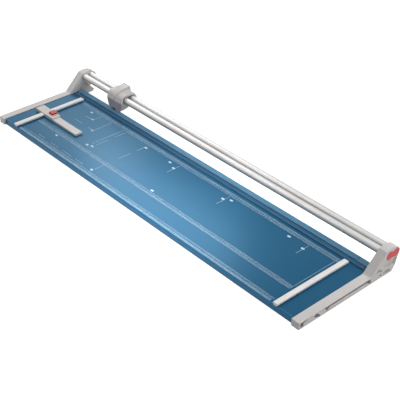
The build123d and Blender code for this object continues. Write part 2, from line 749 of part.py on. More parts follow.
def ridge_section(share):
    """Cross-section at a share of the ridge's length: a flat roof, and hollow sides that flare out."""
    nose = HEAD_FRONT + NOSE_LEAN
    y = nose + share * (REAR_TUBE_Y + RIDGE_REAR - nose)
    swell = sin(radians(90 * share))
    half = RIDGE_TIP + (RIDGE_HALF - RIDGE_TIP) * swell
    flare = RIDGE_TIP_FLARE + (RIDGE_FLARE - RIDGE_TIP_FLARE) * swell ** (1 / 3)
    top = TUBE_Z + RIDGE_TOE + (RIDGE_TOP - RIDGE_TOE) * sqrt(swell)
    beyond = max(FRONT_TUBE_Y - y, y - REAR_TUBE_Y, 0)
    foot = TUBE_Z + sqrt(max(HEAD_RADIUS ** 2 - beyond ** 2, 0)) - RIDGE_SINK
    low = SPLIT_Z + NOSE_LIP
    hollow = (half + flare * RIDGE_HOLLOW, foot + (top - foot) * RIDGE_HOLLOW)
    edges = [
        Polyline((-half - flare, foot), (-half - flare, low), (half + flare, low), (half + flare, foot)),
        ThreePointArc((half + flare, foot), hollow, (half, top)),
        Line((half, top), (-half, top)),
        ThreePointArc((-half, top), (-hollow[0], hollow[1]), (-half - flare, foot)),
    ]
    return Plane.XZ.offset(-y) * Pos(HEAD_X, 0) * make_face(edges)


def grip_ridge():
    """Drop-shaped ridge whose roof widens and rises from the nose to the rear."""
    return loft([ridge_section(share) for share in RIDGE_STATIONS])


def head_bores():
    """Room for the tubes and bushes, with a wider recess in each side face."""
    left = HEAD_X - HEAD_WIDTH / 2
    right = HEAD_X + HEAD_WIDTH / 2
    recess = tube_slot(TUBE_RADIUS + RECESS_WALL)
    room = along_x(recess, left, left + RECESS_DEPTH) + along_x(recess, right - RECESS_DEPTH, right)
    for y in TUBE_Y:
        room += rod_x(y, TUBE_Z, TUBE_RADIUS + RUN_GAP + BUSH_WALL + SEAT_GAP, left, right)
    return room


def head_housing():
    left = HEAD_X - HEAD_WIDTH / 2
    right = HEAD_X + HEAD_WIDTH / 2
    lower_front = HEAD_FRONT + GUARD_THICK
    body = along_x(tube_slot(HEAD_RADIUS), left, right)
    body -= block(left, right, HEAD_FRONT, lower_front, TUBE_Z - HEAD_RADIUS, SPLIT_Z)
    nose_top = TUBE_Z + SPLIT_DROP
    nose = [
        (HEAD_FRONT, SPLIT_Z),
        (HEAD_FRONT + NOSE_LEAN, SPLIT_Z + NOSE_LIP),
        (FRONT_TUBE_Y - sqrt(HEAD_RADIUS ** 2 - SPLIT_DROP ** 2), nose_top),
        (FRONT_TUBE_Y, nose_top),
        (FRONT_TUBE_Y, SPLIT_Z),
    ]
    body += along_x(make_face(Polyline(*nose, close=True)), left, right)
    lower_rear = FRONT_TUBE_Y + LOWER_REAR
    body += along_y(lower_outline(), lower_front, lower_rear)
    rise = (lower_rear - HEAD_FRONT) * tan(radians(LOWER_SLOPE))
    under = [
        (HEAD_FRONT, GUARD_BOTTOM), (lower_rear, GUARD_BOTTOM + rise),
        (lower_rear, GUARD_BOTTOM - rise), (HEAD_FRONT, GUARD_BOTTOM - rise),
    ]
    body -= along_x(make_face(Polyline(*under, close=True)), left, right)
    body += grip_ridge()
    body -= head_bores()
    pocket_front = ROLLER_REAR + TURN_GAP / 2
    pocket_rear = BLADE_REAR + TURN_GAP
    body -= rod_y(HEAD_X, BLADE_Z, BLADE_RADIUS + TURN_GAP, pocket_front, pocket_rear)
    body -= rod_y(HEAD_X, BLADE_Z, ROLLER_RADIUS + TURN_GAP, lower_front, pocket_front)
    body -= rod_y(HEAD_X, BLADE_Z, HUB_FLANGE + TURN_GAP, pocket_front, SPRING_SEAT)
    body -= rod_y(HEAD_X, BLADE_Z, AXLE_RADIUS + SEAT_GAP, SPRING_SEAT, SPRING_SEAT + AXLE_SEAT)
    for x, z in guard_screw_places():
        body -= rod_y(x, z, SMALL_SCREW + HOLE_GAP, lower_front, lower_rear)
        body -= rod_y(x, z, SMALL_HEAD + HOLE_GAP, lower_rear - SMALL_HEAD_HEIGHT - HOLE_GAP, lower_rear)
    return body


def guard_screw_places():
    return [(HEAD_X + side * GUARD_SCREW_REACH, GUARD_BOTTOM + GUARD_SCREW_RISE) for side in (-1, 1)]


def blade_guard():
    rear = HEAD_FRONT + GUARD_THICK
    guard = along_y(lower_outline(), HEAD_FRONT, rear)
    front_edges = guard.faces().sort_by(Axis.Y)[0].edges().sort_by(Axis.Z)[:-1]
    guard = fillet(front_edges, GUARD_EDGE)
    guard -= rod_y(HEAD_X, BLADE_Z, ROLLER_RADIUS + TURN_GAP, HEAD_FRONT + GUARD_SKIN, rear)
    notch = HEAD_X + NOTCH_SHIFT
    notch_top = GUARD_BOTTOM + NOTCH_HEIGHT
    left = notch - NOTCH_WIDTH / 2
    guard -= block(left, left + NOTCH_WIDTH, HEAD_FRONT, rear, GUARD_BOTTOM, notch_top)
    for x, z in guard_screw_places():
        guard -= rod_y(x, z, SMALL_SCREW + SEAT_GAP, HEAD_FRONT + GUARD_SKIN, rear)
    return guard


def guard_screws():
    screws = []
    seat = FRONT_TUBE_Y + LOWER_REAR - SMALL_HEAD_HEIGHT - HOLE_GAP
    for x, z in guard_screw_places():
        head = rod_y(x, z, SMALL_HEAD, seat, seat + SMALL_HEAD_HEIGHT)
        screws.append(head + rod_y(x, z, SMALL_SCREW, HEAD_FRONT + GUARD_SCREW_TIP, seat))
    return screws


def glide_bushes():
    bushes = []
    ring = Circle(TUBE_RADIUS + RUN_GAP + BUSH_WALL) - Circle(TUBE_RADIUS + RUN_GAP)
    reach = HEAD_WIDTH / 2 - RECESS_DEPTH
    for y in TUBE_Y:
        for start in (HEAD_X - reach, HEAD_X + reach - BUSH_LENGTH):
            bushes.append(along_x(Pos(y, TUBE_Z) * ring, start, start + BUSH_LENGTH))
    return bushes


def blade_axle():
    return rod_y(HEAD_X, BLADE_Z, AXLE_RADIUS, HEAD_FRONT + GUARD_SKIN, SPRING_SEAT + AXLE_SEAT)


def blade_spring():
    start = BLADE_REAR + HUB_FLANGE_THICK + GUIDE_GAP / 2
    outer = rod_y(HEAD_X, BLADE_Z, SPRING_RADIUS, start, SPRING_SEAT)
    return outer - rod_y(HEAD_X, BLADE_Z, SPRING_RADIUS - SPRING_WIRE, start, SPRING_SEAT)


def round_blade():
    """A thin disc, flat towards the counter blade and bevelled behind its edge."""
    points = [
        (BLADE_FRONT, BLADE_BORE + SEAT_GAP),
        (BLADE_FRONT, BLADE_RADIUS),
        (BLADE_FRONT + BLADE_LAND, BLADE_RADIUS),
        (BLADE_REAR, BLADE_RADIUS - BLADE_BEVEL),
        (BLADE_REAR, BLADE_BORE + SEAT_GAP),
    ]
    return turned(points, HEAD_X, BLADE_Z)


def blade_hub():
    bore = AXLE_RADIUS + RUN_GAP
    flange = BLADE_REAR + HUB_FLANGE_THICK
    front = BLADE_FRONT - NUT_THICK
    points = [
        (front, bore), (front, BLADE_BORE), (BLADE_REAR, BLADE_BORE),
        (BLADE_REAR, HUB_FLANGE), (flange, HUB_FLANGE), (flange, bore),
    ]
    return turned(points, HEAD_X, BLADE_Z)


def blade_nut():
    front = BLADE_FRONT - NUT_THICK
    bore = BLADE_BORE + SEAT_GAP
    points = [(front, bore), (front, NUT_RADIUS), (BLADE_FRONT, NUT_RADIUS), (BLADE_FRONT, bore)]
    return turned(points, HEAD_X, BLADE_Z)


def roller_core():
    bore = AXLE_RADIUS + RUN_GAP
    points = [
        (ROLLER_FRONT, bore), (ROLLER_FRONT, ROLLER_CORE),
        (ROLLER_REAR, ROLLER_CORE), (ROLLER_REAR, bore),
    ]
    return turned(points, HEAD_X, BLADE_Z)


def roller_tyre():
    bore = ROLLER_CORE + SEAT_GAP
    crown = ROLLER_RADIUS - SEAT_GAP
    middle = (ROLLER_FRONT + ROLLER_REAR) / 2
    points = [
        (ROLLER_FRONT, bore), (ROLLER_FRONT, crown), (middle, ROLLER_RADIUS),
        (ROLLER_REAR, crown), (ROLLER_REAR, bore),
    ]
    return turned(points, HEAD_X, BLADE_Z)


# Back stop

def saddle_screw_places():
    x = SADDLE_X1 - TONGUE_LENGTH / 2
    y = STOP_Y + ARM_DEPTH / 2
    return [(x, y + side * TONGUE_DEPTH / 4) for side in (-1, 1)]


def tongue(gap):
    """Joint between the stop's arm and its saddle, under the saddle's right end."""
    middle = STOP_Y + ARM_DEPTH / 2
    half = TONGUE_DEPTH / 2 + gap
    low = SADDLE_BOTTOM + SMALL_HEAD_HEIGHT + HOLE_GAP
    left = SADDLE_X1 - TONGUE_LENGTH - gap
    return block(left, SADDLE_X1, middle - half, middle + half, low - gap, low + TONGUE_THICK + gap)


def pad_room(gap):
    half = PAD_WIDTH / 2 + gap
    middle = STOP_Y + SADDLE_DEPTH / 2
    low = TABLE_TOP + BAR_HEIGHT + GUIDE_GAP
    length = PAD_LENGTH / 2 + gap
    return block(-BAR_X - half, -BAR_X + half, middle - length, middle + length, low, low + PAD_THICK)


def button_plan(gap):
    size = (BUTTON_LENGTH + 2 * gap, BUTTON_DEPTH + 2 * gap)
    return Pos(BUTTON_X, BUTTON_Y) * RectangleRounded(*size, BUTTON_EDGE + gap)


def stop_saddle():
    rear = STOP_Y + SADDLE_DEPTH
    body = block(SADDLE_X0, SADDLE_X1, STOP_Y, rear, SADDLE_BOTTOM, SADDLE_TOP)
    body = chamfer(body.faces().sort_by(Axis.Z)[-1].edges(), SADDLE_EDGE)
    body += along_z(button_plan(GUIDE_GAP + RIM_WALL), SADDLE_BOTTOM, RIM_TOP)
    body -= along_y(Pos(-BAR_X, 0) * bar_outline(GUIDE_GAP), STOP_Y, rear)
    body -= pad_room(SEAT_GAP)
    body -= along_z(button_plan(GUIDE_GAP), BUTTON_FLOOR, RIM_TOP)
    body -= rod_z(BUTTON_X, BUTTON_Y, LOCK_BORE, BUTTON_WELL, BUTTON_FLOOR)
    body -= tongue(TONGUE_GAP)
    for x, y in saddle_screw_places():
        body -= rod_z(x, y, SMALL_HEAD + HOLE_GAP, SADDLE_BOTTOM, SADDLE_BOTTOM + SMALL_HEAD_HEIGHT)
        body -= rod_z(x, y, SMALL_SCREW + HOLE_GAP, SADDLE_BOTTOM, SADDLE_BOTTOM + SADDLE_HEIGHT / 2)
    return body


def stop_arm():
    top = SADDLE_BOTTOM + ARM_THICK
    arm = block(SADDLE_X1, SADDLE_X1 + ARM_REACH, STOP_Y, STOP_Y + ARM_DEPTH, SADDLE_BOTTOM, top)
    arm = chamfer(arm.faces().sort_by(Axis.Z)[-1].edges(), SADDLE_EDGE)
    arm += tongue(0)
    for x, y in saddle_screw_places():
        arm -= rod_z(x, y, SMALL_SCREW + SEAT_GAP, SADDLE_BOTTOM, top)
    return arm


def stop_screws():
    screws = []
    seat = SADDLE_BOTTOM + SMALL_HEAD_HEIGHT
    tip = seat + TONGUE_THICK
    for x, y in saddle_screw_places():
        head = rod_z(x, y, SMALL_HEAD, SADDLE_BOTTOM + HOLE_GAP, seat)
        screws.append(head + rod_z(x, y, SMALL_SCREW, seat, tip))
    return screws


def lock_button():
    button = along_z(button_plan(0), BUTTON_BOTTOM, RIM_TOP + BUTTON_PROUD)
    button = fillet(button.faces().sort_by(Axis.Z)[-1].edges(), BUTTON_EDGE)
    return button + rod_z(BUTTON_X, BUTTON_Y, STEM_RADIUS, BUTTON_BOTTOM - STEM_LENGTH, BUTTON_BOTTOM)


def lock_spring():
    ring = Circle(LOCK_BORE - GUIDE_GAP) - Circle(STEM_RADIUS + GUIDE_GAP)
    return along_z(Pos(BUTTON_X, BUTTON_Y) * ring, BUTTON_WELL, BUTTON_BOTTOM)


right_end = right_casting()
cap = right_cap()
end_rail = right_end_rail()

nodes = {
    "table_plate": table_plate(),
    "front_rail": front_rail(),
    "rear_rail": rear_rail(),
    "left_end_rail": mirror(end_rail, about=Plane.YZ),
    "right_end_rail": end_rail,
    "left_end_casting": mirror(right_end, about=Plane.YZ),
    "right_end_casting": right_end,
    "left_end_cap": mirror(cap, about=Plane.YZ),
    "right_end_cap": cap,
    "front_guide_tube": guide_tube(FRONT_TUBE_Y),
    "rear_guide_tube": guide_tube(REAR_TUBE_Y),
    "tube_plugs": [end for plug in right_tube_plugs() for end in both_ends(plug)],
    "tube_screws": [end for screw in right_tube_screws() for end in both_ends(screw)],
    "table_screws": [end for screw in right_table_screws() for end in both_ends(screw)],
    "rubber_feet": [end for foot in right_feet() for end in both_ends(foot)],
    "foot_screws": [end for screw in right_foot_screws() for end in both_ends(screw)],
    "counter_blade": counter_blade(),
    "counter_blade_screws": counter_blade_screws(),
    "left_side_stop": side_stop(-1),
    "right_side_stop": side_stop(1),
    "side_stop_screws": side_stop_screws(),
    "clamp_strip": clamp_strip(),
    "clamp_pins": clamp_pins(),
    "left_clamp_leaf": clamp_leaf(-1),
    "right_clamp_leaf": clamp_leaf(1),
    "head_housing": head_housing(),
    "blade_guard": blade_guard(),
    "guard_screws": guard_screws(),
    "glide_bushes": glide_bushes(),
    "blade_axle": blade_axle(),
    "blade_spring": blade_spring(),
    "round_blade": round_blade(),
    "blade_hub": blade_hub(),
    "blade_nut": blade_nut(),
    "roller_core": roller_core(),
    "roller_tyre": roller_tyre(),
    "stop_saddle": stop_saddle(),
    "stop_arm": stop_arm(),
    "stop_screws": stop_screws(),
    "brake_pad": pad_room(0),
    "lock_button": lock_button(),
    "lock_spring": lock_spring(),
}

os.makedirs("parts", exist_ok=True)
for name, piece in nodes.items():
    solids = piece if isinstance(piece, list) else [piece]
    export_step(solids[0] if len(solids) == 1 else Compound(children=solids), f"parts/{name}.step")
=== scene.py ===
import json
from math import pi, radians

import bpy
import numpy as np
from bpy.props import FloatProperty, FloatVectorProperty, IntProperty, PointerProperty
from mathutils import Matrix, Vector

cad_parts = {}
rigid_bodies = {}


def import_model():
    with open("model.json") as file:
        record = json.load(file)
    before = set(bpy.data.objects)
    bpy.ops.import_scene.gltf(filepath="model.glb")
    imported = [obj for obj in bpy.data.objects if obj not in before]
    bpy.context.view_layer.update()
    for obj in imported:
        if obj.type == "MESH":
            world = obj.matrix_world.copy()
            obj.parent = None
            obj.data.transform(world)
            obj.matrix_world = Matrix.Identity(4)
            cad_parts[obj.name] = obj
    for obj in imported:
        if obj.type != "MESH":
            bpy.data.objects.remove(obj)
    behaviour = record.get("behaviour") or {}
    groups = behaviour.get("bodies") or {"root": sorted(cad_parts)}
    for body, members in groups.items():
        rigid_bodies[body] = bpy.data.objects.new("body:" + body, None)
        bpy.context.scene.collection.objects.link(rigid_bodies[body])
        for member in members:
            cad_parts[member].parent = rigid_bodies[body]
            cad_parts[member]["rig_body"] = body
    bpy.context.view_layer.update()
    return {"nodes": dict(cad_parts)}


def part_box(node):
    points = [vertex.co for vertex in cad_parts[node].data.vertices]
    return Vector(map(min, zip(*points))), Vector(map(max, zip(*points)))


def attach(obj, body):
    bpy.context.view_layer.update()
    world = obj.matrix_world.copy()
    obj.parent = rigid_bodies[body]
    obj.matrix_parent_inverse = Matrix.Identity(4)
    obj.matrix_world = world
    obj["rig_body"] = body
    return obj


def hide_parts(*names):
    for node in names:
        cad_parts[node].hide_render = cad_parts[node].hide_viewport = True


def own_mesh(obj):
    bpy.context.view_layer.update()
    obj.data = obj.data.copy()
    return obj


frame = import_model()

bl_info = {
    "name": "Rolling paper trimmer",
    "version": (1, 0, 0),
    "blender": (4, 5, 0),
    "location": "View3D > Sidebar > Trimmer",
    "description": "Finishes, printed rules and small parts of a rolling paper trimmer",
    "category": "Object",
}

MM = 0.001
WHITE = (1.0, 1.0, 1.0)

# Degrees from which an edge is shaded as a sharp one
SHARP_ANGLE = 40

# Clamp, in millimetres: the strip's frosted track, the blur where it starts, the painted shade
# before it and the painted highlight at its rear edge; then the pins and the leaf springs
TRACK_WIDTH = 21.0
TRACK_BLUR = 0.2
WALL_SHADE = 9.0
PAINTED_GLEAM_WIDTH = 5.0
PIN_HEAD_HEIGHT = 1.4
PIN_SHANK = 3.0
LEAF_THICK = 0.3

# How dark the painted shade makes the strip at the track's wall and how light the painted
# highlight makes its rear edge, as factors of the colour
WALL_DARK = 0.5
PAINTED_GLEAM_LIGHT = 1.8

# Small screws, in millimetres: the radii of shank and head, the head's height, how much lower it
# is on the back stop, and how far a table screw reaches past the table's end
SMALL_SHANK = 1.8
SMALL_HEAD = 3.4
SMALL_HEAD_HEIGHT = 1.8
SCREW_SINK = 0.25
TABLE_SCREW_GRIP = 8.0

# A screw's socket and bevel as shares of its head's radius, the mouth of the socket as a share
# of the socket, its bevel's depth as a share of the bevel, its floor as a share of the head's
# height, and the radius and length of the screw's tip as shares of the shank's radius
SOCKET_KEY = 0.42
HEAD_BEVEL = 0.12
SOCKET_MOUTH = 1.08
MOUTH_DEPTH = 0.6
SOCKET_FLOOR = 0.35
SCREW_TIP = 0.8
SCREW_TIP_LENGTH = 0.3

# A pin's tip as shares of its shank's radius, and its rim as a share of the head's height
PIN_TIP = 0.85
PIN_TIP_LENGTH = 0.2
PIN_RIM = 0.45

# Turns that lie flat at each end of a coil spring
FLAT_TURNS = 0.75

# A leaf spring's tips: where they start on each half, how far they turn up as a share of the
# bow, the power of the rounding and its least value
LEAF_TIP_START = 0.86
LEAF_TIP_RISE = 0.12
LEAF_TIP_POWER = 12
LEAF_TIP_LEAST = 0.08

# Floor, in metres, and how brightly the camera sees it glow; the camera's sensor, in millimetres
FLOOR_SIZE = 40.0
FLOOR_GLOW = 0.84
SENSOR_WIDTH = 36.0

# Colour of settled dust, and the band of a noise that is spread out as a finish's tone
DUST = (0.6, 0.58, 0.55, 1.0)
TONE_BAND = (0.3, 0.7)

# Dimples in paint and speckle on mouldings: their scale against the peel or grain that they lie
# on, and their weight in the relief
DIMPLE_SCALE = 4.0
DIMPLE_SHARE = 0.3
SPECKLE_SCALE = 0.4
SPECKLE_SHARE = 0.6


def linear(red, green, blue):
    """A colour given as eight-bit screen values, made linear for the shader."""
    share = np.array([red, green, blue]) / 255
    value = np.where(share <= 0.04045, share / 12.92, ((share + 0.055) / 1.055) ** 2.4)
    return tuple(float(part) for part in value)


def colour_prop(name, description, red, green, blue):
    return FloatVectorProperty(
        name=name, description=description, subtype="COLOR", size=3, min=0, max=1,
        default=linear(red, green, blue))


def length_prop(name, description, millimetres):
    return FloatProperty(
        name=name, description=description, unit="LENGTH", min=0, precision=5,
        default=millimetres * MM)


def power_prop(name, description, watts):
    return FloatProperty(
        name=name, description=description, unit="POWER", min=0, default=watts)


def share_prop(name, description, value):
    return FloatProperty(
        name=name, description=description, subtype="FACTOR", min=0, max=1, default=value)


class TrimmerTable(bpy.types.PropertyGroup):
    """Table paint and what is printed on it."""
    paint: colour_prop("Paint", "Blue paint of the table", 26, 85, 119)
    # The edge paint is the table's blue made lighter, as painted light, chiefly on the front rail's
    # face
    edge: colour_prop("Edge", "Blue paint of the rails under the table's edges", 36, 101, 141)
    paint_roughness: share_prop("Paint roughness", "Satin of the paint", 0.3)
    paint_gloss: share_prop("Paint gloss", "Specular level of the paint", 0.17)
    paint_flake: share_prop("Paint flake", "Share of metal flake in the paint", 0.16)
    highlight: colour_prop("Highlight", "Tint that the flake gives to highlights", 202, 246, 255)
    ink: colour_prop("Print", "Ink of rules, figures and format lines", 192, 213, 226)
    ink_relief: length_prop("Print relief", "Height of the print above the paint", 0.06)
    base_line: length_prop("Base line", "Width of the line that a rule's ticks stand on", 0.3)
    figure_height: length_prop("Figure height", "Height of a rule's figures", 5.8)
    figure_line: length_prop("Figure line", "Width of a figure's strokes", 0.56)
    format_line: length_prop("Format line", "Width of the paper format lines", 0.9)
    label_length: length_prop("Label length", "Length of a blank format label", 13.0)
    label_depth: length_prop("Label depth", "Depth of a blank format label", 7.0)


class TrimmerFrame(bpy.types.PropertyGroup):
    """End castings, caps, tubes, bars, clamp strip and rubber."""
    casting: colour_prop("Casting", "Light grey powder coat of the castings", 206, 203, 201)
    cap: colour_prop("Cap", "Red of the end caps", 206, 54, 54)
    tube: colour_prop("Tube", "Bright drawn metal of the guide tubes", 174, 173, 172)
    bar: colour_prop("Bar", "White of the side stops", 229, 228, 226)
    strip: colour_prop("Strip", "Tint of the clear clamp strip", 76, 124, 160)
    track: colour_prop("Track", "Frosted running track of the clamp strip", 118, 174, 208)
    rubber: colour_prop("Rubber", "Feet, brake pad and roller tyre", 38, 38, 40)


class TrimmerHead(bpy.types.PropertyGroup):
    """Cutter head, back stop, steel and springs."""
    housing: colour_prop("Housing", "Grey moulding of the head", 210, 205, 203)
    # The guard's grey is darker than the housing's, partly as painted shade for its shaded front
    guard: colour_prop("Guard", "Darker moulding over the blade", 181, 171, 175)
    stop: colour_prop("Stop", "Beige grey of the back stop", 206, 202, 200)
    # The button's red is the caps' red made darker, as painted shade
    button: colour_prop("Button", "Red of the lock button", 184, 44, 46)
    steel: colour_prop("Steel", "Hardened and ground steel", 190, 192, 196)
    spring_turns: FloatProperty(
        name="Spring turns", description="Free turns of the coil springs", min=1, default=3.5)
    wire: length_prop("Wire", "Diameter of the spring wire", 1.1)


class TrimmerStage(bpy.types.PropertyGroup):
    """Camera, lamps, floor and background."""
    camera_place: FloatVectorProperty(
        name="Camera place", description="Where the camera stands", subtype="TRANSLATION",
        unit="LENGTH", default=(2.0756, -1.7245, 1.7877))
    camera_tilt: FloatProperty(
        name="Camera tilt", description="Angle of the camera from straight down",
        subtype="ANGLE", default=radians(55.7))
    camera_turn: FloatProperty(
        name="Camera turn", description="Angle of the camera about the vertical",
        subtype="ANGLE", default=radians(48.67))
    lens: FloatProperty(
        name="Lens", description="Focal length for a 36 mm sensor", unit="CAMERA", default=88.05)
    floor: colour_prop("Floor", "Pale floor", 218, 218, 218)
    ambient: FloatProperty(
        name="Ambient", description="Strength of the light from all round", min=0, default=0.12)
    top: power_prop("Top", "Power of the wide lamp overhead", 15.0)
    behind: power_prop("Behind", "Power of the lamp behind the right half", 18.6)
    left: power_prop("Left", "Power of the lamp beyond the left end", 8.0)
    right: power_prop("Right", "Power of the lamp beyond the right end", 6.4)
    front: power_prop("Front", "Power of the lamp over the table's front edge", 1.4)
    near: power_prop("Near", "Power of the lamp before the left half", 4.6)
    sheen: power_prop("Sheen", "Power of the lamp whose sheen crosses the table", 4.6)
    sheen_left: power_prop("Sheen left", "Power of the lamp whose sheen fills the left end", 1.6)
    seed: IntProperty(name="Seed", description="Shifts the grain of all finishes", default=3)


# Meshes

def carrier(node):
    """The body that a CAD node rides on."""
    return frame["nodes"][node]["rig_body"]


def mesh_object(name, verts, faces, material):
    """An object in the scene, made from whole arrays, with its finish."""
    mesh = bpy.data.meshes.new(name)
    mesh.from_pydata(verts.tolist(), [], faces)
    mesh.validate()
    mesh.materials.append(material)
    piece = bpy.data.objects.new(name, mesh)
    bpy.context.scene.collection.objects.link(piece)
    return piece


def put(name, shape, material, node=None):
    """Makes a piece and hangs it on its body: that of the CAD node whose place it takes, or the
    base for print. What takes a node's place is shaded smoothly except across sharp edges."""
    piece = mesh_object(name, *shape, material)
    body = carrier(node) if node else "base"
    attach(piece, body)
    if node:
        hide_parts(node)
        piece.data.shade_smooth()
        piece.data.set_sharp_from_angle(angle=radians(SHARP_ANGLE))
    return piece


def joined(parts):
    """Several (vertices, faces) pairs as one, each part's faces numbered on from the one before."""
    counts = [len(verts) for verts, _ in parts]
    starts = np.cumsum([0] + counts[:-1])
    faces = [[corner + start for corner in face]
             for (_, rows), start in zip(parts, starts.tolist()) for face in rows]
    return np.concatenate([verts for verts, _ in parts]), faces


def full_turn(steps):
    """The angles of one full turn in equal steps."""
    return 2 * pi * np.arange(steps) / steps


def spokes(angle, axis):
    """Unit vectors square to a main axis, each at its angle round it."""
    across = np.roll(np.abs(axis), 1)
    return np.cos(angle)[:, None] * across + np.sin(angle)[:, None] * np.cross(axis, across)


def tube_faces(rings, steps):
    """Four-sided faces between neighbouring rings of points; each ring closes on itself."""
    here = np.arange(steps)
    after = np.roll(here, -1)
    row = (np.arange(rings - 1) * steps)[:, None]
    quads = np.stack([here + row, after + row, after + row + steps, here + row + steps], axis=2)
    return quads.reshape(-1, 4)


def rod_faces(rings, steps):
    """Faces of a rod whose rings run the other way round, with a flat face at each end."""
    here = np.arange(steps)
    last = (rings - 1) * steps
    ends = [here.tolist(), (here[::-1] + last).tolist()]
    return tube_faces(rings, steps)[:, [0, 3, 2, 1]].tolist() + ends


def prisms(plans, low, high):
    """Upright prisms. plans holds n outlines of k points, anticlockwise from above; vertex
    (i, l, j) is point j of outline i at the level low for l = 0 and high for l = 1."""
    count, sides = plans.shape[:2]
    level = np.broadcast_to(np.array([low, high])[None, :, None, None], (count, 2, sides, 1))
    flat = np.broadcast_to(plans[:, None], (count, 2, sides, 2))
    verts = np.concatenate([flat, level], axis=3).reshape(-1, 3)
    base = (np.arange(count) * 2 * sides)[:, None]
    here = np.arange(sides)
    walls = (tube_faces(2, sides)[None] + base[:, :, None]).reshape(-1, 4)
    tops = here + sides + base
    feet = here[::-1] + base
    return verts, walls.tolist() + tops.tolist() + feet.tolist()


def strokes(start, end, width):
    """Plans of straight bars: the ends of each line, moved half the width on and to both sides."""
    along = end - start
    along = along / np.linalg.norm(along, axis=1, keepdims=True)
    side = np.stack([along[:, 1], -along[:, 0]], axis=1) * width / 2
    reach = along * width / 2
    return np.stack([start - reach + side, end + reach + side, end + reach - side,
                     start - reach - side], axis=1)


def lathe(radius, height, place, axis):
    """A closed turned body. Vertex (i, j) lies radius[i, j] from the axis at the angle
    2 pi j / n, height[i] along the axis; the first and last ring close to their middles."""
    rings, steps = radius.shape
    axis = np.array(axis, float)
    spoke = spokes(full_turn(steps), axis)
    shell = radius[:, :, None] * spoke[None] + height[:, None, None] * axis
    poles = height[[0, -1], None] * axis
    verts = np.concatenate([shell.reshape(-1, 3), poles]) + np.array(place)
    here = np.arange(steps)
    after = np.roll(here, -1)
    first = np.full(steps, rings * steps)
    last = (rings - 1) * steps
    foot = np.stack([after, here, first], axis=1)
    top = np.stack([here + last, after + last, first + 1], axis=1)
    return verts, tube_faces(rings, steps).tolist() + foot.tolist() + top.tolist()


def round_rings(radii, steps):
    """Plain round rings for lathe: each radius repeated at every step."""
    return np.repeat(np.array(radii, float)[:, None], steps, axis=1)


def socket_screw(place, axis, shank, head, tall, length, steps=48):
    """A cap screw along the axis, its seat at the place and its head ahead of it. The socket's
    radius at an angle a is that of a hexagon, k / cos(a mod 60 degrees - 30 degrees)."""
    hexagon = 1 / np.cos(np.mod(full_turn(steps), pi / 3) - pi / 6)
    key = head * SOCKET_KEY
    bevel = head * HEAD_BEVEL
    outside = round_rings([shank * SCREW_TIP, shank, shank, head, head, head - bevel], steps)
    socket = np.array([key * SOCKET_MOUTH, key, key])[:, None] * hexagon
    height = [-length, -length + shank * SCREW_TIP_LENGTH, 0, 0, tall - bevel, tall,
              tall, tall - bevel * MOUTH_DEPTH, tall * SOCKET_FLOOR]
    return lathe(np.concatenate([outside, socket]), np.array(height), place, axis)


def domed_pin(place, axis, shank, head, tall, length, steps=64, rings=8):
    """A shoulder pin with a crowned head. From its rim the crown rises with the cosine of an
    angle that falls from a quarter turn to nothing, as its radius falls with the sine."""
    quarter = np.linspace(pi / 2, 0, rings, endpoint=False)
    radii = np.concatenate([[shank * PIN_TIP, shank, shank, head], head * np.sin(quarter)])
    crown = tall * (PIN_RIM + (1 - PIN_RIM) * np.cos(quarter))
    height = np.concatenate([[-length, -length + shank * PIN_TIP_LENGTH, 0, 0], crown])
    return lathe(round_rings(radii, steps), height, place, axis)


def coil(place, axis, radius, wire, length, turns, steps=40, around=12):
    """A compression spring with one turn more at each end, most of which lies flat. Between them
    the wire's middle line rises evenly round the axis; the wire's skin lies wire / 2 from it at
    the angle p, P = line + wire / 2 (cos p radial + sin p binormal)."""
    axis = np.array(axis, float)
    total = turns + 2
    turn = np.linspace(0, total, int(total * steps) + 1)
    free = np.clip((turn - FLAT_TURNS) / (total - 2 * FLAT_TURNS), 0, 1)
    rise = wire / 2 + (length - wire) * free
    radial = spokes(2 * pi * turn, axis)
    line = radius * radial + rise[:, None] * axis
    tangent = np.gradient(line, axis=0)
    tangent /= np.linalg.norm(tangent, axis=1, keepdims=True)
    binormal = np.cross(tangent, radial)
    part = full_turn(around)
    skin = (np.cos(part)[None, :, None] * radial[:, None]
            + np.sin(part)[None, :, None] * binormal[:, None])
    verts = (line[:, None] + wire / 2 * skin).reshape(-1, 3) + np.array(place)
    return verts, rod_faces(len(turn), around)


def leaf(low, high, thick, steps=48):
    """A bowed leaf spring between two corners. Its middle line rises as 1 - (2 u)^2 along its
    length u from -1/2 to 1/2, its tips turn up again, and its plan narrows to round tips."""
    u = np.linspace(-0.5, 0.5, steps)
    rise = high[2] - low[2] - thick
    bow = rise * (1 - (2 * u) ** 2)
    past = np.clip(np.abs(2 * u) - LEAF_TIP_START, 0, None) / (1 - LEAF_TIP_START)
    tip = LEAF_TIP_RISE * rise * past
    taper = np.sqrt(np.clip(1 - (2 * u) ** LEAF_TIP_POWER, LEAF_TIP_LEAST, 1))
    half = (high[1] - low[1]) / 2 * taper
    x = (low[0] + high[0]) / 2 + u * (high[0] - low[0])
    y = (low[1] + high[1]) / 2
    z = low[2] + bow + tip
    front = np.stack([x, y - half, z], axis=1)
    rear = np.stack([x, y + half, z], axis=1)
    lift = np.array([0, 0, thick])
    verts = np.stack([front, rear, rear + lift, front + lift], axis=1).reshape(-1, 3)
    return verts, rod_faces(steps, 4)


# Finishes

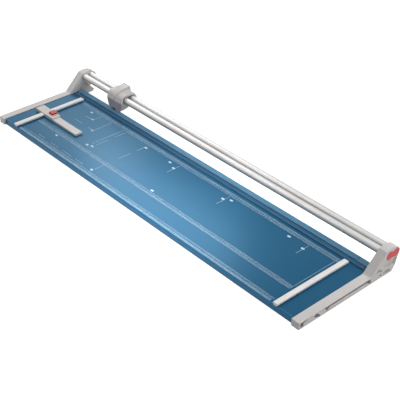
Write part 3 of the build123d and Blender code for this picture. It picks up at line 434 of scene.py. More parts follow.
class Wiring:
    """Adds nodes to one tree. An input takes a plain value or the socket that feeds it."""

    def __init__(self, tree):
        self.tree = tree

    def add(self, kind, inputs=None, **settings):
        """A new node of a kind, with its settings and its inputs by name or number."""
        node = self.tree.nodes.new("ShaderNode" + kind)
        for name, value in settings.items():
            setattr(node, name, value)
        for key, value in (inputs or {}).items():
            self.feed(node.inputs[key], value)
        return node

    def feed(self, socket, value):
        if isinstance(value, bpy.types.NodeSocket):
            self.tree.links.new(value, socket)
        else:
            socket.default_value = value

    def maths(self, operation, *values):
        return self.add("Math", dict(enumerate(values)), operation=operation).outputs[0]

    def noise(self, vector, scale, detail=2.0, roughness=0.5):
        node = self.add("TexNoise", {"Vector": vector, "Scale": scale, "Detail": detail,
                                     "Roughness": roughness})
        return node.outputs[0]

    def spread(self, value, low, high, to_low=0.0, to_high=1.0):
        """Maps a value's range from low and high to a new range, held at its ends."""
        node = self.add("MapRange", {0: value, 1: low, 2: high, 3: to_low, 4: to_high})
        return node.outputs[0]

    def blend(self, share, first, second):
        """Two colours mixed; 6, 7 and output 2 are the Mix node's sockets for colours."""
        return self.add("Mix", {0: share, 6: first, 7: second}, data_type="RGBA").outputs[2]


def effect(name, inputs, outputs, wire):
    """A shader node group with named sockets, made once; wire gives its outputs."""
    made = bpy.data.node_groups.get(name)
    if made:
        return made
    made = bpy.data.node_groups.new(name, "ShaderNodeTree")
    for label, kind, default in inputs:
        socket = made.interface.new_socket(label, in_out="INPUT", socket_type="NodeSocket" + kind)
        if default is not None:
            socket.default_value = default
    for label, kind in outputs:
        made.interface.new_socket(label, in_out="OUTPUT", socket_type="NodeSocket" + kind)
    source = made.nodes.new("NodeGroupInput")
    target = made.nodes.new("NodeGroupOutput")
    for socket, value in zip(target.inputs, wire(Wiring(made), source.outputs)):
        made.links.new(value, socket)
    return made


def paint_film():
    """Sprayed paint: soft orange peel, finer dimples in it and slow changes of tone."""
    def wire(work, given):
        scale = work.maths("DIVIDE", 1.0, given["Peel"])
        coarse = work.noise(given["Vector"], scale, detail=1.0)
        fine = work.noise(given["Vector"], work.maths("MULTIPLY", scale, DIMPLE_SCALE), detail=2.0)
        coarse = work.maths("MULTIPLY", coarse, 1 - DIMPLE_SHARE)
        height = work.maths("ADD", coarse, work.maths("MULTIPLY", fine, DIMPLE_SHARE))
        tone = work.noise(given["Vector"], scale=7.0, detail=3.0)
        return height, work.spread(tone, *TONE_BAND)
    return effect("paint_film", [("Vector", "Vector", None), ("Peel", "Float", 0.0015)],
                  [("Height", "Float"), ("Tone", "Float")], wire)


def moulded_grain():
    """Spark-eroded grain of a moulding: small rounded cells with speckle over them."""
    def wire(work, given):
        scale = work.maths("DIVIDE", 1.0, given["Grain"])
        cells = work.add("TexVoronoi", {"Vector": given["Vector"], "Scale": scale},
                         feature="SMOOTH_F1").outputs[0]
        scale = work.maths("MULTIPLY", scale, SPECKLE_SCALE)
        speckle = work.noise(given["Vector"], scale, detail=4.0)
        height = work.maths("ADD", cells, work.maths("MULTIPLY", speckle, SPECKLE_SHARE))
        tone = work.noise(given["Vector"], scale=16.0, detail=3.0)
        return height, work.spread(tone, *TONE_BAND)
    return effect("moulded_grain", [("Vector", "Vector", None), ("Grain", "Float", 0.0007)],
                  [("Height", "Float"), ("Tone", "Float")], wire)


def drawn_lines():
    """Drawing or grinding marks: noise stretched by a scale for each direction."""
    def wire(work, given):
        long = work.add("VectorMath", {0: given["Vector"], 1: given["Stretch"]},
                        operation="MULTIPLY").outputs[0]
        lines = work.noise(long, scale=1.0, detail=3.0, roughness=0.6)
        tone = work.noise(given["Vector"], scale=9.0, detail=2.0)
        return work.spread(lines, low=0.25, high=0.75), work.spread(tone, *TONE_BAND)
    return effect("drawn_lines",
                  [("Vector", "Vector", None), ("Stretch", "Vector", (40.0, 900.0, 900.0))],
                  [("Lines", "Float"), ("Tone", "Float")], wire)


def worn_edges():
    """Edges a little rounded by use: the normal bent round the edge, and a mask along it."""
    def wire(work, given):
        bent = work.add("Bevel", {"Radius": given["Radius"]}, samples=6).outputs[0]
        true = work.add("NewGeometry").outputs["True Normal"]
        along = work.add("VectorMath", {0: bent, 1: true}, operation="DOT_PRODUCT")
        return bent, work.spread(along.outputs["Value"], low=0.99, high=0.8)
    return effect("worn_edges", [("Radius", "Float", 0.0006)],
                  [("Normal", "Vector"), ("Edge", "Float")], wire)


def settled_dust():
    """Faint dust on what faces up, gathered in clouds."""
    def wire(work, given):
        true = work.add("NewGeometry").outputs["True Normal"]
        facing = work.add("SeparateXYZ", {"Vector": true})
        up = work.spread(facing.outputs["Z"], low=0.5, high=1.0)
        cloud = work.noise(given["Vector"], scale=11.0, detail=5.0, roughness=0.65)
        cloud = work.spread(cloud, low=0.42, high=0.75)
        return (work.maths("MULTIPLY", up, cloud),)
    return effect("settled_dust", [("Vector", "Vector", None)], [("Dust", "Float")], wire)


class Finish(Wiring):
    """One material: a Principled surface on Object coordinates, fed by shared effects."""

    def __init__(self, name, **constants):
        self.material = bpy.data.materials.new(name)
        self.material.use_nodes = True
        super().__init__(self.material.node_tree)
        self.surface = self.tree.nodes["Principled BSDF"]
        for socket, value in constants.items():
            self.surface.inputs[socket.replace("_", " ")].default_value = value
        place = self.add("TexCoord").outputs["Object"]
        shift = bpy.context.scene.trimmer_stage.seed
        self.place = self.add(
            "Mapping", {"Vector": place, "Location": (shift, shift, shift)}).outputs[0]

    def use(self, group, **values):
        """Places a shared effect on the piece's coordinates and gives its outputs."""
        node = self.add("Group", node_tree=group)
        if "Vector" in node.inputs:
            self.feed(node.inputs["Vector"], self.place)
        for name, value in values.items():
            self.feed(node.inputs[name], value)
        return node.outputs

    def colour(self, value):
        self.feed(self.surface.inputs["Base Color"], value)

    def rough(self, mask, low, high):
        """Roughness that follows a mask from low to high."""
        self.feed(self.surface.inputs["Roughness"], self.spread(mask, 0, 1, low, high))

    def relief(self, height, depth, normal=None):
        bump = self.add("Bump", {"Height": height, "Strength": 1.0, "Distance": depth})
        if normal is not None:
            self.feed(bump.inputs["Normal"], normal)
        self.feed(self.surface.inputs["Normal"], bump.outputs[0])

    def mottled(self, tone, colour, low, high):
        """A colour that follows a tone from a darker to a lighter shade of itself."""
        return self.blend(tone, shade(colour, low), shade(colour, high))

    def aged(self, base, edge, wear, pale, dust):
        """A colour made paler along an edge mask by the share wear, with dust laid over it."""
        base = self.blend(self.maths("MULTIPLY", edge, wear), base, pale)
        cloud = self.use(settled_dust())["Dust"]
        return self.blend(self.maths("MULTIPLY", cloud, dust), base, DUST)


def shade(colour, factor):
    """A colour made lighter or darker by a factor, with full alpha."""
    return tuple(min(1.0, part * factor) for part in colour) + (1.0,)


def painted(name, colour, roughness, peel, edge, gloss, dust=0.05, flake=0.0, uneven=0.04,
            highlight=WHITE):
    """Sprayed metal: tone and dust in the colour, orange peel in the relief, paler edges."""
    finish = Finish(name, Specular_IOR_Level=gloss, Metallic=flake,
                    Specular_Tint=shade(highlight, 1.0))
    film = finish.use(paint_film(), Peel=peel)
    worn = finish.use(worn_edges(), Radius=edge)
    base = finish.mottled(film["Tone"], colour, 1 - uneven, 1 + uneven)
    finish.colour(finish.aged(base, worn["Edge"], wear=0.22, pale=shade(colour, 1.7), dust=dust))
    finish.rough(film["Tone"], roughness - uneven, roughness + uneven)
    finish.relief(film["Height"], depth=0.00003, normal=worn["Normal"])
    return finish.material


def moulded(name, colour, roughness, grain, edge=0.0006, gloss=0.4, dust=0.04, depth=0.00003):
    """Moulded plastic: fine erosion grain, uneven tone, edges polished paler by hands."""
    finish = Finish(name, Specular_IOR_Level=gloss)
    skin = finish.use(moulded_grain(), Grain=grain)
    worn = finish.use(worn_edges(), Radius=edge)
    uneven = 0.05
    base = finish.mottled(skin["Tone"], colour, 1 - uneven, 1 + uneven)
    finish.colour(finish.aged(base, worn["Edge"], wear=0.2, pale=shade(colour, 1.5), dust=dust))
    finish.rough(skin["Tone"], roughness - uneven, roughness + uneven)
    finish.relief(skin["Height"], depth, worn["Normal"])
    return finish.material


def bare_metal(name, colour, roughness, stretch, edge=0.0003, depth=0.000008, contrast=0.25):
    """Bare metal with the marks of the tool that made it, running one way."""
    finish = Finish(name, Metallic=1.0)
    marks = finish.use(drawn_lines(), Stretch=stretch)
    worn = finish.use(worn_edges(), Radius=edge)
    base = finish.mottled(marks["Tone"], colour, low=0.93, high=1.04)
    marked = finish.maths("MULTIPLY", marks["Lines"], contrast)
    groove = shade(colour, 0.86)
    finish.colour(finish.blend(marked, base, groove))
    finish.rough(marks["Lines"], low=roughness - 0.05, high=roughness + 0.06)
    finish.relief(marks["Lines"], depth, worn["Normal"])
    return finish.material


def clear_plastic(name, colour, track, track_start, track_end):
    """Clear strip: a smooth flat front part, and from track_start back a frosted track.

    Just before the track the plastic is painted darker, as shade from the track's front wall,
    and towards track_end it is painted lighter, as a highlight on the cut edge of clear plastic."""
    finish = Finish(name, Transmission_Weight=0.4, IOR=1.3, Specular_IOR_Level=0.3)
    skin = finish.use(paint_film(), Peel=0.004)
    place = finish.add("TexCoord").outputs["Object"]
    where = finish.add("SeparateXYZ", {"Vector": place}).outputs["Y"]
    on_track = finish.spread(where, track_start - TRACK_BLUR * MM, track_start + TRACK_BLUR * MM)
    base = finish.mottled(skin["Tone"], colour, low=0.95, high=1.03)
    # Painted shade: the strip darker just before the track's front wall
    painted_wall_shade = finish.spread(where, track_start - WALL_SHADE * MM, track_start)
    base = finish.blend(painted_wall_shade, base, shade(colour, WALL_DARK))
    frost = finish.mottled(skin["Tone"], track, low=0.95, high=1.04)
    # Painted highlight: the track lighter towards its rear edge
    painted_gleam = finish.spread(where, track_end - PAINTED_GLEAM_WIDTH * MM, track_end)
    frost = finish.blend(painted_gleam, frost, shade(track, PAINTED_GLEAM_LIGHT))
    finish.colour(finish.blend(on_track, base, frost))
    finish.rough(on_track, low=0.12, high=0.5)
    finish.relief(skin["Height"], depth=0.00002)
    return finish.material


def ink(name, colour):
    """Screen print: pale ink, a little uneven where it thins."""
    finish = Finish(name, Specular_IOR_Level=0.25)
    film = finish.use(paint_film(), Peel=0.0006)
    thin = finish.spread(film["Height"], low=0.35, high=0.65)
    finish.colour(finish.mottled(thin, colour, low=0.9, high=1.03))
    finish.rough(film["Tone"], low=0.5, high=0.62)
    finish.relief(film["Height"], depth=0.00001)
    return finish.material


def dress(material, *nodes):
    """Gives CAD nodes a finish; their shapes stay as they are."""
    for node in nodes:
        for place in frame["nodes"][node].material_slots:
            place.material = material


def finish_of(name, make):
    """A finish by name, made the first time that it is asked for."""
    return bpy.data.materials.get(name) or make(name)


def zinc():
    return finish_of("zinc_plate", lambda name: bare_metal(
        name, linear(176, 178, 182), roughness=0.34, stretch=(500, 500, 500)))


def spring_wire():
    return finish_of("spring_wire", lambda name: bare_metal(
        name, linear(150, 152, 156), roughness=0.3, stretch=(700, 700, 90)))


def black_rubber():
    tint = bpy.context.scene.trimmer_frame.rubber
    return finish_of("black_rubber", lambda name: moulded(
        name, tint, roughness=0.72, grain=0.0009, gloss=0.25))


def print_ink():
    return finish_of("print_ink", lambda name: ink(name, bpy.context.scene.trimmer_table.ink))


def red_moulding(name, colour):
    return moulded(name, colour, roughness=0.42, grain=0.0006, edge=0.0008, gloss=0.35)


def points_of(node):
    """A CAD node's vertices as rows of x, y, z."""
    mesh = frame["nodes"][node].data
    flat = np.empty(3 * len(mesh.vertices))
    mesh.vertices.foreach_get("co", flat)
    return flat.reshape(-1, 3)


# Figures of the rules, as strokes on a grid one wide and FIGURE_TALL tall; on the table a figure
# is FIGURE_WIDE wide, and the next one starts FIGURE_ADVANCE further on
FIGURE_TALL = 1.6
FIGURE_WIDE = 0.7
FIGURE_ADVANCE = 0.98
ROUND_SIX = [(0.85, 1.58), (0.4, 1.45), (0.06, 0.9), (0, 0.4), (0.25, 0), (0.75, 0), (1, 0.4),
             (0.75, 0.9), (0.25, 0.9), (0.03, 0.55)]
FIGURES = {
    "0": [(0, 0.3), (0, 1.3), (0.25, 1.6), (0.75, 1.6), (1, 1.3), (1, 0.3), (0.75, 0), (0.25, 0),
          (0, 0.3)],
    "1": [(0.2, 1.25), (0.55, 1.6), (0.55, 0)],
    "2": [(0, 1.3), (0.25, 1.6), (0.75, 1.6), (1, 1.3), (1, 1), (0, 0), (1, 0)],
    "3": [(0, 1.35), (0.25, 1.6), (0.75, 1.6), (1, 1.3), (0.75, 0.85), (1, 0.45), (0.75, 0),
          (0.25, 0), (0, 0.25)],
    "4": [(0.75, 0), (0.75, 1.6), (0, 0.5), (1, 0.5)],
    "5": [(0.95, 1.6), (0.1, 1.6), (0.05, 0.9), (0.6, 1), (1, 0.65), (1, 0.35), (0.7, 0),
          (0.25, 0), (0, 0.2)],
    "6": ROUND_SIX,
    "7": [(0, 1.6), (1, 1.6), (0.4, 0)],
    "8": [(0.5, 0.85), (0.1, 1.1), (0.1, 1.4), (0.35, 1.6), (0.65, 1.6), (0.9, 1.4), (0.9, 1.1),
          (0.5, 0.85), (1, 0.5), (1, 0.25), (0.7, 0), (0.3, 0), (0, 0.25), (0, 0.5), (0.5, 0.85)],
    "9": [(1 - x, FIGURE_TALL - y) for x, y in ROUND_SIX],
}


def figure_lines(number, middle_x, foot_y, height):
    """Start and end points of a number's strokes, centred on middle_x above foot_y."""
    scale = height / FIGURE_TALL
    text = str(number)
    left = middle_x - scale * (FIGURE_ADVANCE * (len(text) - 1) + FIGURE_WIDE) / 2
    start, end = [], []
    for place, sign in enumerate(text):
        points = np.array(FIGURES[sign]) * (scale * FIGURE_WIDE, scale)
        points = points + (left + place * FIGURE_ADVANCE * scale, foot_y)
        start.append(points[:-1])
        end.append(points[1:])
    return np.concatenate(start), np.concatenate(end)


# Rules, in millimetres: where the ticks start, which way they grow, the foot of the figures,
# the first and last tick, the width of a tick
RULES = {
    "rear_rule": (87.6, -1, 71.2, -640, 642, 0.2),
    "middle_rule": (-120.4, 1, -109.8, -640, 632, 0.22),
    "front_rule": (-198.6, 1, -186.6, -640, 633, 0.3),
}

# Ticks, in millimetres: how far apart and how long; figures stand at every centimetre
TICKS = ((1, 8.4), (5, 9.2), (10, 9.9))
FIGURE_STEP = 10

# Format lines, in millimetres, each from x, y to x, y
FORMAT_LINES = (
    (-551, 30.6, -510, 30.6), (-510, 30.6, -510, 71),
    (-561, -12.4, -515, -12.4), (-479, -12.4, -448, -12.4), (-448, -12.4, -448, 67),
    (-378.6, -67, -378.6, 66),
    (-361, -63, -361, -12), (-361, 20, -361, 66),
    (-238, -160, -238, -122), (-238, -62, -238, -9), (-238, 19, -238, 58),
    (-64, 11, -64, 67), (183, 10, 183, 68), (531, 13, 531, 68),
    (634, -118, 634, 70),
    (-557, -172, -519, -172), (-480, -172, -437, -172), (-409, -172, -356, -172),
    (-332, -172, -289, -172),
)

# Middles of the blank labels, in millimetres, and the steps and power of their outline
LABELS = (
    (-559, 62), (-515, 33), (-452, -14), (-384, -86), (-364, -79), (-242, -170), (-508, -129),
    (-231, 55), (-104, 57), (-68, 42), (-10, -97), (177, 43), (202, 57), (459, 57), (529, 44),
)
LABEL_STEPS = 24
LABEL_POWER = 4


class TRIMMER_OT_paint_table(bpy.types.Operator):
    """Gives the table plate and its rails their blue paint"""
    bl_idname = "trimmer.paint_table"
    bl_label = "Paint table"

    def execute(self, context):
        own = context.scene.trimmer_table
        rails = ("front_rail", "rear_rail", "left_end_rail", "right_end_rail")
        # The rails' paint is the plate's blue made lighter: painted light, chiefly on the front
        # rail's face
        for name, tint, nodes in (
                ("table_paint", own.paint, ("table_plate",)), ("edge_paint", own.edge, rails)):
            blue = painted(
                name, tint, own.paint_roughness, peel=0.0016, edge=0.0008, gloss=own.paint_gloss,
                dust=0.003, flake=own.paint_flake, uneven=0.012, highlight=own.highlight)
            dress(blue, *nodes)
        return {"FINISHED"}


class TRIMMER_OT_print_rules(bpy.types.Operator):
    """Prints the rules: ticks every millimetre and figures every centimetre"""
    bl_idname = "trimmer.print_rules"
    bl_label = "Print rules"

    def execute(self, context):
        own = context.scene.trimmer_table
        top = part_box("table_plate")[1].z
        for name, (start, way, foot, first, last, width) in RULES.items():
            x = np.arange(first, last + 1).astype(float)
            length = np.full(len(x), TICKS[0][1])
            for step, reach in TICKS[1:]:
                length[np.mod(x - first, step) == 0] = reach
            near = np.stack([x, np.full(len(x), start)], axis=1) * MM
            far = np.stack([x, start + way * length], axis=1) * MM
            lines = [np.array([[first, start]]) * MM, np.array([[last, start]]) * MM]
            plans = [strokes(near, far, width * MM), strokes(*lines, own.base_line)]
            for place in range(first + FIGURE_STEP, last + 1, FIGURE_STEP):
                count = (place - first) // FIGURE_STEP
                ends = figure_lines(count, place * MM, foot * MM, own.figure_height)
                plans.append(strokes(*ends, own.figure_line))
            shape = prisms(np.concatenate(plans), top, top + own.ink_relief)
            put(name, shape, print_ink())
        return {"FINISHED"}


class TRIMMER_OT_print_formats(bpy.types.Operator):
    """Prints the corner lines of the paper formats and their blank labels"""
    bl_idname = "trimmer.print_formats"
    bl_label = "Print formats"

    def execute(self, context):
        own = context.scene.trimmer_table
        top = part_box("table_plate")[1].z
        lines = np.array(FORMAT_LINES) * MM
        plans = strokes(lines[:, :2], lines[:, 2:], own.format_line)
        marks = prisms(plans, top, top + own.ink_relief)
        # A label's edge is |x / a|^4 + |y / b|^4 = 1, a rectangle with round corners
        angle = full_turn(LABEL_STEPS)
        ring = np.stack([np.cos(angle), np.sin(angle)], axis=1)
        swell = (ring ** LABEL_POWER).sum(axis=1, keepdims=True) ** (-1 / LABEL_POWER)
        edge = ring * (own.label_length, own.label_depth) * swell / 2
        labels = np.array(LABELS)[:, None] * MM + edge[None]
        shape = joined([marks, prisms(labels, top, top + own.ink_relief)])
        put("format_marks", shape, print_ink())
        return {"FINISHED"}


class TRIMMER_OT_finish_castings(bpy.types.Operator):
    """Powder coat of the end castings, red caps and rubber feet"""
    bl_idname = "trimmer.finish_castings"
    bl_label = "Finish castings"

    def execute(self, context):
        own = context.scene.trimmer_frame
        coat = painted("casting_coat", own.casting, roughness=0.5, peel=0.0011, edge=0.0012,
                       gloss=0.35, dust=0.08)
        dress(coat, "left_end_casting", "right_end_casting")
        dress(red_moulding("cap_moulding", own.cap), "left_end_cap", "right_end_cap")
        dress(black_rubber(), "rubber_feet")
        return {"FINISHED"}


class TRIMMER_OT_finish_tubes(bpy.types.Operator):
    """Drawn metal of the guide tubes and their plugs"""
    bl_idname = "trimmer.finish_tubes"
    bl_label = "Finish tubes"

    def execute(self, context):
        own = context.scene.trimmer_frame
        drawn = bare_metal("drawn_tube", own.tube, roughness=0.54, stretch=(6, 260, 260),
                           depth=0.000001, contrast=0.1)
        dress(drawn, "front_guide_tube", "rear_guide_tube")
        turned = bare_metal("turned_plug", linear(200, 202, 205), roughness=0.3,
                            stretch=(1500, 60, 60))
        dress(turned, "tube_plugs")
        return {"FINISHED"}


class TRIMMER_OT_finish_cutting_edge(bpy.types.Operator):
    """Steel of the counter blade, the round blade and its hub, and the press roller"""
    bl_idname = "trimmer.finish_cutting_edge"
    bl_label = "Finish cutting edge"

    def execute(self, context):
        own = context.scene.trimmer_head
        ground = bare_metal("ground_blade", own.steel, roughness=0.22, stretch=(1200, 50, 50))
        dress(ground, "counter_blade", "round_blade")
        turned = bare_metal("turned_steel", shade(own.steel, 0.85)[:3], roughness=0.3,
                            stretch=(60, 1300, 60))
        dress(turned, "blade_hub", "blade_nut", "blade_axle", "roller_core")
        dress(black_rubber(), "roller_tyre")
        return {"FINISHED"}


class TRIMMER_OT_finish_side_stops(bpy.types.Operator):
    """White moulding of the two side stops"""
    bl_idname = "trimmer.finish_side_stops"
    bl_label = "Finish side stops"

    def execute(self, context):
        own = context.scene.trimmer_frame
        bar = moulded("white_bar", own.bar, roughness=0.45, grain=0.0008)
        dress(bar, "left_side_stop", "right_side_stop")
        return {"FINISHED"}


class TRIMMER_OT_make_clamp(bpy.types.Operator):
    """Clear clamp strip, its crowned pins and its bowed leaf springs"""
    bl_idname = "trimmer.make_clamp"
    bl_label = "Make clamp"

    def execute(self, context):
        own = context.scene.trimmer_frame
        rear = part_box("clamp_strip")[1].y
        front = rear - TRACK_WIDTH * MM
        dress(clear_plastic("clear_strip", own.strip, own.track, front, rear), "clamp_strip")
        low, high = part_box("clamp_pins")
        head = (high.y - low.y) / 2
        tall = PIN_HEAD_HEIGHT * MM
        seat = high.z - tall
        pins = [domed_pin((x, (low.y + high.y) / 2, seat), (0, 0, 1), PIN_SHANK * MM, head, tall,
                          seat - low.z) for x in (low.x + head, high.x - head)]
        blackened = bare_metal("blackened_steel", linear(74, 84, 96), roughness=0.42,
                               stretch=(500, 500, 500))
        put("clamp_pin_set", joined(pins), blackened, node="clamp_pins")
        for side in ("left", "right"):
            node = side + "_clamp_leaf"
            low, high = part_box(node)
            shape = leaf(low, high, LEAF_THICK * MM)
            piece = put(side + "_leaf_spring", shape, spring_wire(), node)
            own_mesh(piece)
        return {"FINISHED"}


class TRIMMER_OT_finish_head(bpy.types.Operator):
    """Mouldings of the cutter head: housing, guard and glide bushes"""
    bl_idname = "trimmer.finish_head"
    bl_label = "Finish head"

    def execute(self, context):
        own = context.scene.trimmer_head
        # The guard's grey is darker than the housing's, partly as painted shade for its shaded
        # front
        for name, colour, roughness, grain, edge, node in (
                ("head_moulding", own.housing, 0.5, 0.0007, 0.0016, "head_housing"),
                ("guard_moulding", own.guard, 0.55, 0.0007, 0.001, "blade_guard"),
                ("bush_moulding", linear(228, 226, 218), 0.4, 0.0009, 0.0006, "glide_bushes")):
            dress(moulded(name, colour, roughness, grain, edge), node)
        return {"FINISHED"}


def wound(name, node, along, own):
    """A coil spring that fills a CAD node's box and is wound about the axis named y or z. Gives
    the piece, the middle of its foot and its length."""
    way = "xyz".index(along)
    low, high = (np.array(corner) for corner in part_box(node))
    place = (low + high) / 2
    place[way] = low[way]
    length = float(high[way] - low[way])
    radius = (high[0] - low[0] - own.wire) / 2
    shape = coil(place, np.eye(3)[way], radius, own.wire, length, own.spring_turns)
    piece = put(name, shape, spring_wire(), node)
    return piece, tuple(place.tolist()), length


class TRIMMER_OT_make_springs(bpy.types.Operator):
    """Wound springs behind the blade and under the lock button"""
    bl_idname = "trimmer.make_springs"
    bl_label = "Make springs"

    def execute(self, context):
        own = context.scene.trimmer_head
        wound("blade_coil", "blade_spring", "y", own)
        piece, place, tall = wound("lock_coil", "lock_spring", "z", own)
        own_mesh(piece)
        return {"FINISHED"}


class TRIMMER_OT_finish_back_stop(bpy.types.Operator):
    """Beige moulding of the back stop, its brake pad and its red button"""
    bl_idname = "trimmer.finish_back_stop"
    bl_label = "Finish back stop"

    def execute(self, context):
        own = context.scene.trimmer_head
        beige = moulded("stop_moulding", own.stop, roughness=0.5, grain=0.0007, edge=0.001)
        dress(beige, "stop_saddle", "stop_arm")
        # The button gets the caps' red made darker: painted shade
        dress(red_moulding("button_moulding", own.button), "lock_button")
        dress(black_rubber(), "brake_pad")
        return {"FINISHED"}


def screw_grid(node, axis, counts, tall):
    """Screws on an even grid over a node's box, with their heads at one end of it. counts gives
    how many stand along X, Y and Z; along the axis it is one."""
    low, high = (np.array(corner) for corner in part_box(node))
    axis = np.array(axis)
    inset = SMALL_HEAD * MM
    lines = [np.linspace(low[i] + inset, high[i] - inset, counts[i]) if counts[i] > 1
             else np.array([(low[i] + high[i]) / 2]) for i in range(3)]
    normal = int(np.argmax(np.abs(axis)))
    end = high[normal] if axis[normal] > 0 else low[normal]
    lines[normal] = np.array([end - axis[normal] * tall])
    places = np.stack(np.meshgrid(*lines, indexing="ij"), axis=-1).reshape(-1, 3)
    length = high[normal] - low[normal] - tall
    return [(place, axis, tall, length) for place in places]


def table_screw_list(tall):
    """Three screws through each casting into the rails under the table."""
    low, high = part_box("table_screws")
    inset = SMALL_HEAD * MM
    depth = points_of("table_screws")[:, 1]
    # Points well inside the two outer screws are those of the middle one
    between = depth[(depth > low.y + 3 * inset) & (depth < high.y - 3 * inset)]
    middle_y = float(between.min() + between.max()) / 2
    seat = high.x - tall
    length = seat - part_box("table_plate")[1].x + TABLE_SCREW_GRIP * MM
    return [((side * seat, y, (low.z + high.z) / 2), (side, 0, 0), tall, length)
            for side in (-1, 1) for y in (low.y + inset, middle_y, high.y - inset)]


def screw_rows():
    """Each group of small screws as (seat, axis, head height, shank length)."""
    tall = SMALL_HEAD_HEIGHT * MM
    return {
        "table_screws": table_screw_list(tall),
        "counter_blade_screws": screw_grid("counter_blade_screws", (0, 1, 0), (7, 1, 1), tall),
        "side_stop_screws": screw_grid("side_stop_screws", (0, 0, -1), (2, 3, 1), tall),
        "foot_screws": screw_grid("foot_screws", (0, 0, -1), (2, 2, 1), tall),
        "guard_screws": screw_grid("guard_screws", (0, 1, 0), (2, 1, 1), tall),
        "stop_screws": screw_grid("stop_screws", (0, 0, -1), (1, 2, 1), tall - SCREW_SINK * MM),
    }


class TRIMMER_OT_make_screws(bpy.types.Operator):
    """Socket screws in place of the plain ones of the solid model"""
    bl_idname = "trimmer.make_screws"
    bl_label = "Make screws"

    def execute(self, context):
        dress(zinc(), "tube_screws")
        for node, screws in screw_rows().items():
            shapes = [socket_screw(place, axis, SMALL_SHANK * MM, SMALL_HEAD * MM, tall, length)
                      for place, axis, tall, length in screws]
            name = node.replace("screws", "socket_screws")
            put(name, joined(shapes), zinc(), node)
        return {"FINISHED"}


# Lamps, in metres: where each stands, the point that it faces, its size, its spread in degrees
LAMPS = {
    "top": ((0.0, 0.0, 2.5), (0.0, 0.0, 0.0), (2.4, 1.6), 180),
    "behind": ((0.9, 1.0, 1.6), (0.3, 0.0, 0.0), (1.2, 0.8), 180),
    "left": ((-2.0, 0.0, 1.1), (-0.6, 0.0, 0.0), (0.9, 0.6), 180),
    "right": ((2.3, 0.1, 0.6), (0.75, 0.0, 0.03), (0.9, 0.5), 180),
    "front": ((0.1, -0.4, 0.9), (0.1, -0.2, 0.02), (0.5, 0.3), 64),
    "near": ((-1.0, -1.3, 1.1), (-0.6, 0.0, 0.05), (0.9, 0.6), 180),
    "sheen": ((-0.63, 0.38, 0.66), (-0.63, -0.28, 0.0), (1.0, 0.24), 180),
    "sheen_left": ((-1.42, 0.6, 0.66), (-1.2, -0.1, 0.0), (0.7, 0.34), 180),
}

# Lamps that give reflections, above all the sheen on the table, and no diffuse light
SHEEN_LAMPS = ("sheen", "sheen_left")


def seen_by_camera(work):
    """One where the camera sees a surface directly, in a reflection or through clear plastic."""
    path = work.add("LightPath")
    seen = work.maths("MAXIMUM", path.outputs["Is Camera Ray"], path.outputs["Is Glossy Ray"])
    return work.maths("MAXIMUM", seen, path.outputs["Is Transmission Ray"])


def lay_floor(own):
    """A flat floor that keeps the object's shadow; where it is seen, it glows up to white."""
    finish = Finish("floor_paper", Specular_IOR_Level=0.0, Roughness=0.9)
    fibre = finish.use(paint_film(), Peel=0.02)
    finish.colour(finish.mottled(fibre["Tone"], own.floor, low=0.995, high=1.0))
    finish.surface.inputs["Emission Color"].default_value = shade(WHITE, 1.0)
    glow = finish.maths("MULTIPLY", seen_by_camera(finish), FLOOR_GLOW)
    finish.feed(finish.surface.inputs["Emission Strength"], glow)
    half = FLOOR_SIZE / 2
    corners = np.array([(-half, -half, 0), (half, -half, 0), (half, half, 0), (-half, half, 0)])
    floor = mesh_object("floor", corners, [(0, 1, 2, 3)], finish.material)


def light_world(own):
    """White where the camera or a reflection sees it, softer where it lights the object."""
    world = bpy.data.worlds.new("studio")
    world.use_nodes = True
    work = Wiring(world.node_tree)
    seen = seen_by_camera(work)
    background = world.node_tree.nodes["Background"]
    background.inputs["Color"].default_value = shade(WHITE, 1.0)
    work.feed(background.inputs["Strength"], work.spread(seen, 0, 1, own.ambient, 1.0))
    bpy.context.scene.world = world


def lamp(name, place, target, size, spread, power):
    """A soft rectangular lamp that faces a point."""
    data = bpy.data.lights.new(name, "AREA")
    data.shape = "RECTANGLE"
    data.size, data.size_y = size
    data.energy = power
    data.spread = radians(spread)
    light = bpy.data.objects.new(name, data)
    light.location = place
    away = Vector(place) - Vector(target)
    light.rotation_euler = away.to_track_quat("Z", "Y").to_euler()
    light.visible_camera = False
    bpy.context.scene.collection.objects.link(light)
    return light


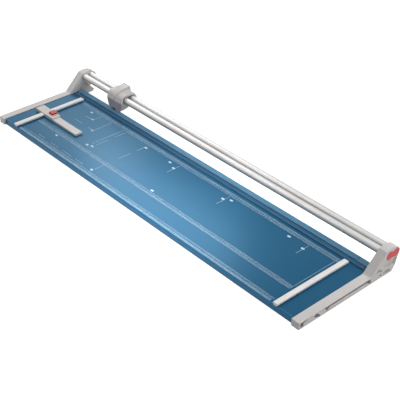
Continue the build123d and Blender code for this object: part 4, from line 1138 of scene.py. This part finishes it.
class TRIMMER_OT_set_stage(bpy.types.Operator):
    """Pale floor, white background, soft lamps and the camera"""
    bl_idname = "trimmer.set_stage"
    bl_label = "Set stage"

    def execute(self, context):
        own = context.scene.trimmer_stage
        lay_floor(own)
        light_world(own)
        lamps = {name: lamp(name + "_lamp", *row, getattr(own, name))
                 for name, row in LAMPS.items()}
        for name in SHEEN_LAMPS:
            lamps[name].visible_diffuse = False
        # Its reflection would hide the table's blue in a view from the left end
        lamps["right"].visible_glossy = False
        view = bpy.data.cameras.new("trimmer_view")
        view.lens = own.lens
        view.sensor_width = SENSOR_WIDTH
        camera = bpy.data.objects.new("trimmer_view", view)
        camera.location = own.camera_place
        camera.rotation_euler = (own.camera_tilt, 0, own.camera_turn)
        context.scene.collection.objects.link(camera)
        context.scene.camera = camera
        context.scene.view_settings.view_transform = "Standard"
        return {"FINISHED"}


class TRIMMER_PT_pieces(bpy.types.Panel):
    """Lists the operators in the order in which they run"""
    bl_idname = "TRIMMER_PT_pieces"
    bl_label = "Rolling paper trimmer"
    bl_space_type = "VIEW_3D"
    bl_region_type = "UI"
    bl_category = "Trimmer"

    def draw(self, context):
        for operator in OPERATORS:
            self.layout.operator(operator.bl_idname)


SETTINGS = {
    "trimmer_table": TrimmerTable,
    "trimmer_frame": TrimmerFrame,
    "trimmer_head": TrimmerHead,
    "trimmer_stage": TrimmerStage,
}
OPERATORS = (
    TRIMMER_OT_paint_table,
    TRIMMER_OT_print_rules,
    TRIMMER_OT_print_formats,
    TRIMMER_OT_finish_castings,
    TRIMMER_OT_finish_tubes,
    TRIMMER_OT_finish_cutting_edge,
    TRIMMER_OT_finish_side_stops,
    TRIMMER_OT_make_clamp,
    TRIMMER_OT_finish_head,
    TRIMMER_OT_make_springs,
    TRIMMER_OT_finish_back_stop,
    TRIMMER_OT_make_screws,
    TRIMMER_OT_set_stage,
)
CLASSES = (*SETTINGS.values(), *OPERATORS, TRIMMER_PT_pieces)


def register():
    for part in CLASSES:
        bpy.utils.register_class(part)
    for name, group in SETTINGS.items():
        setattr(bpy.types.Scene, name, PointerProperty(type=group))


def unregister():
    for name in SETTINGS:
        delattr(bpy.types.Scene, name)
    for part in reversed(CLASSES):
        bpy.utils.unregister_class(part)


def main():
    register()
    for operator in OPERATORS:
        getattr(bpy.ops.trimmer, operator.bl_idname.split(".")[1])()


if __name__ == "__main__":
    main()
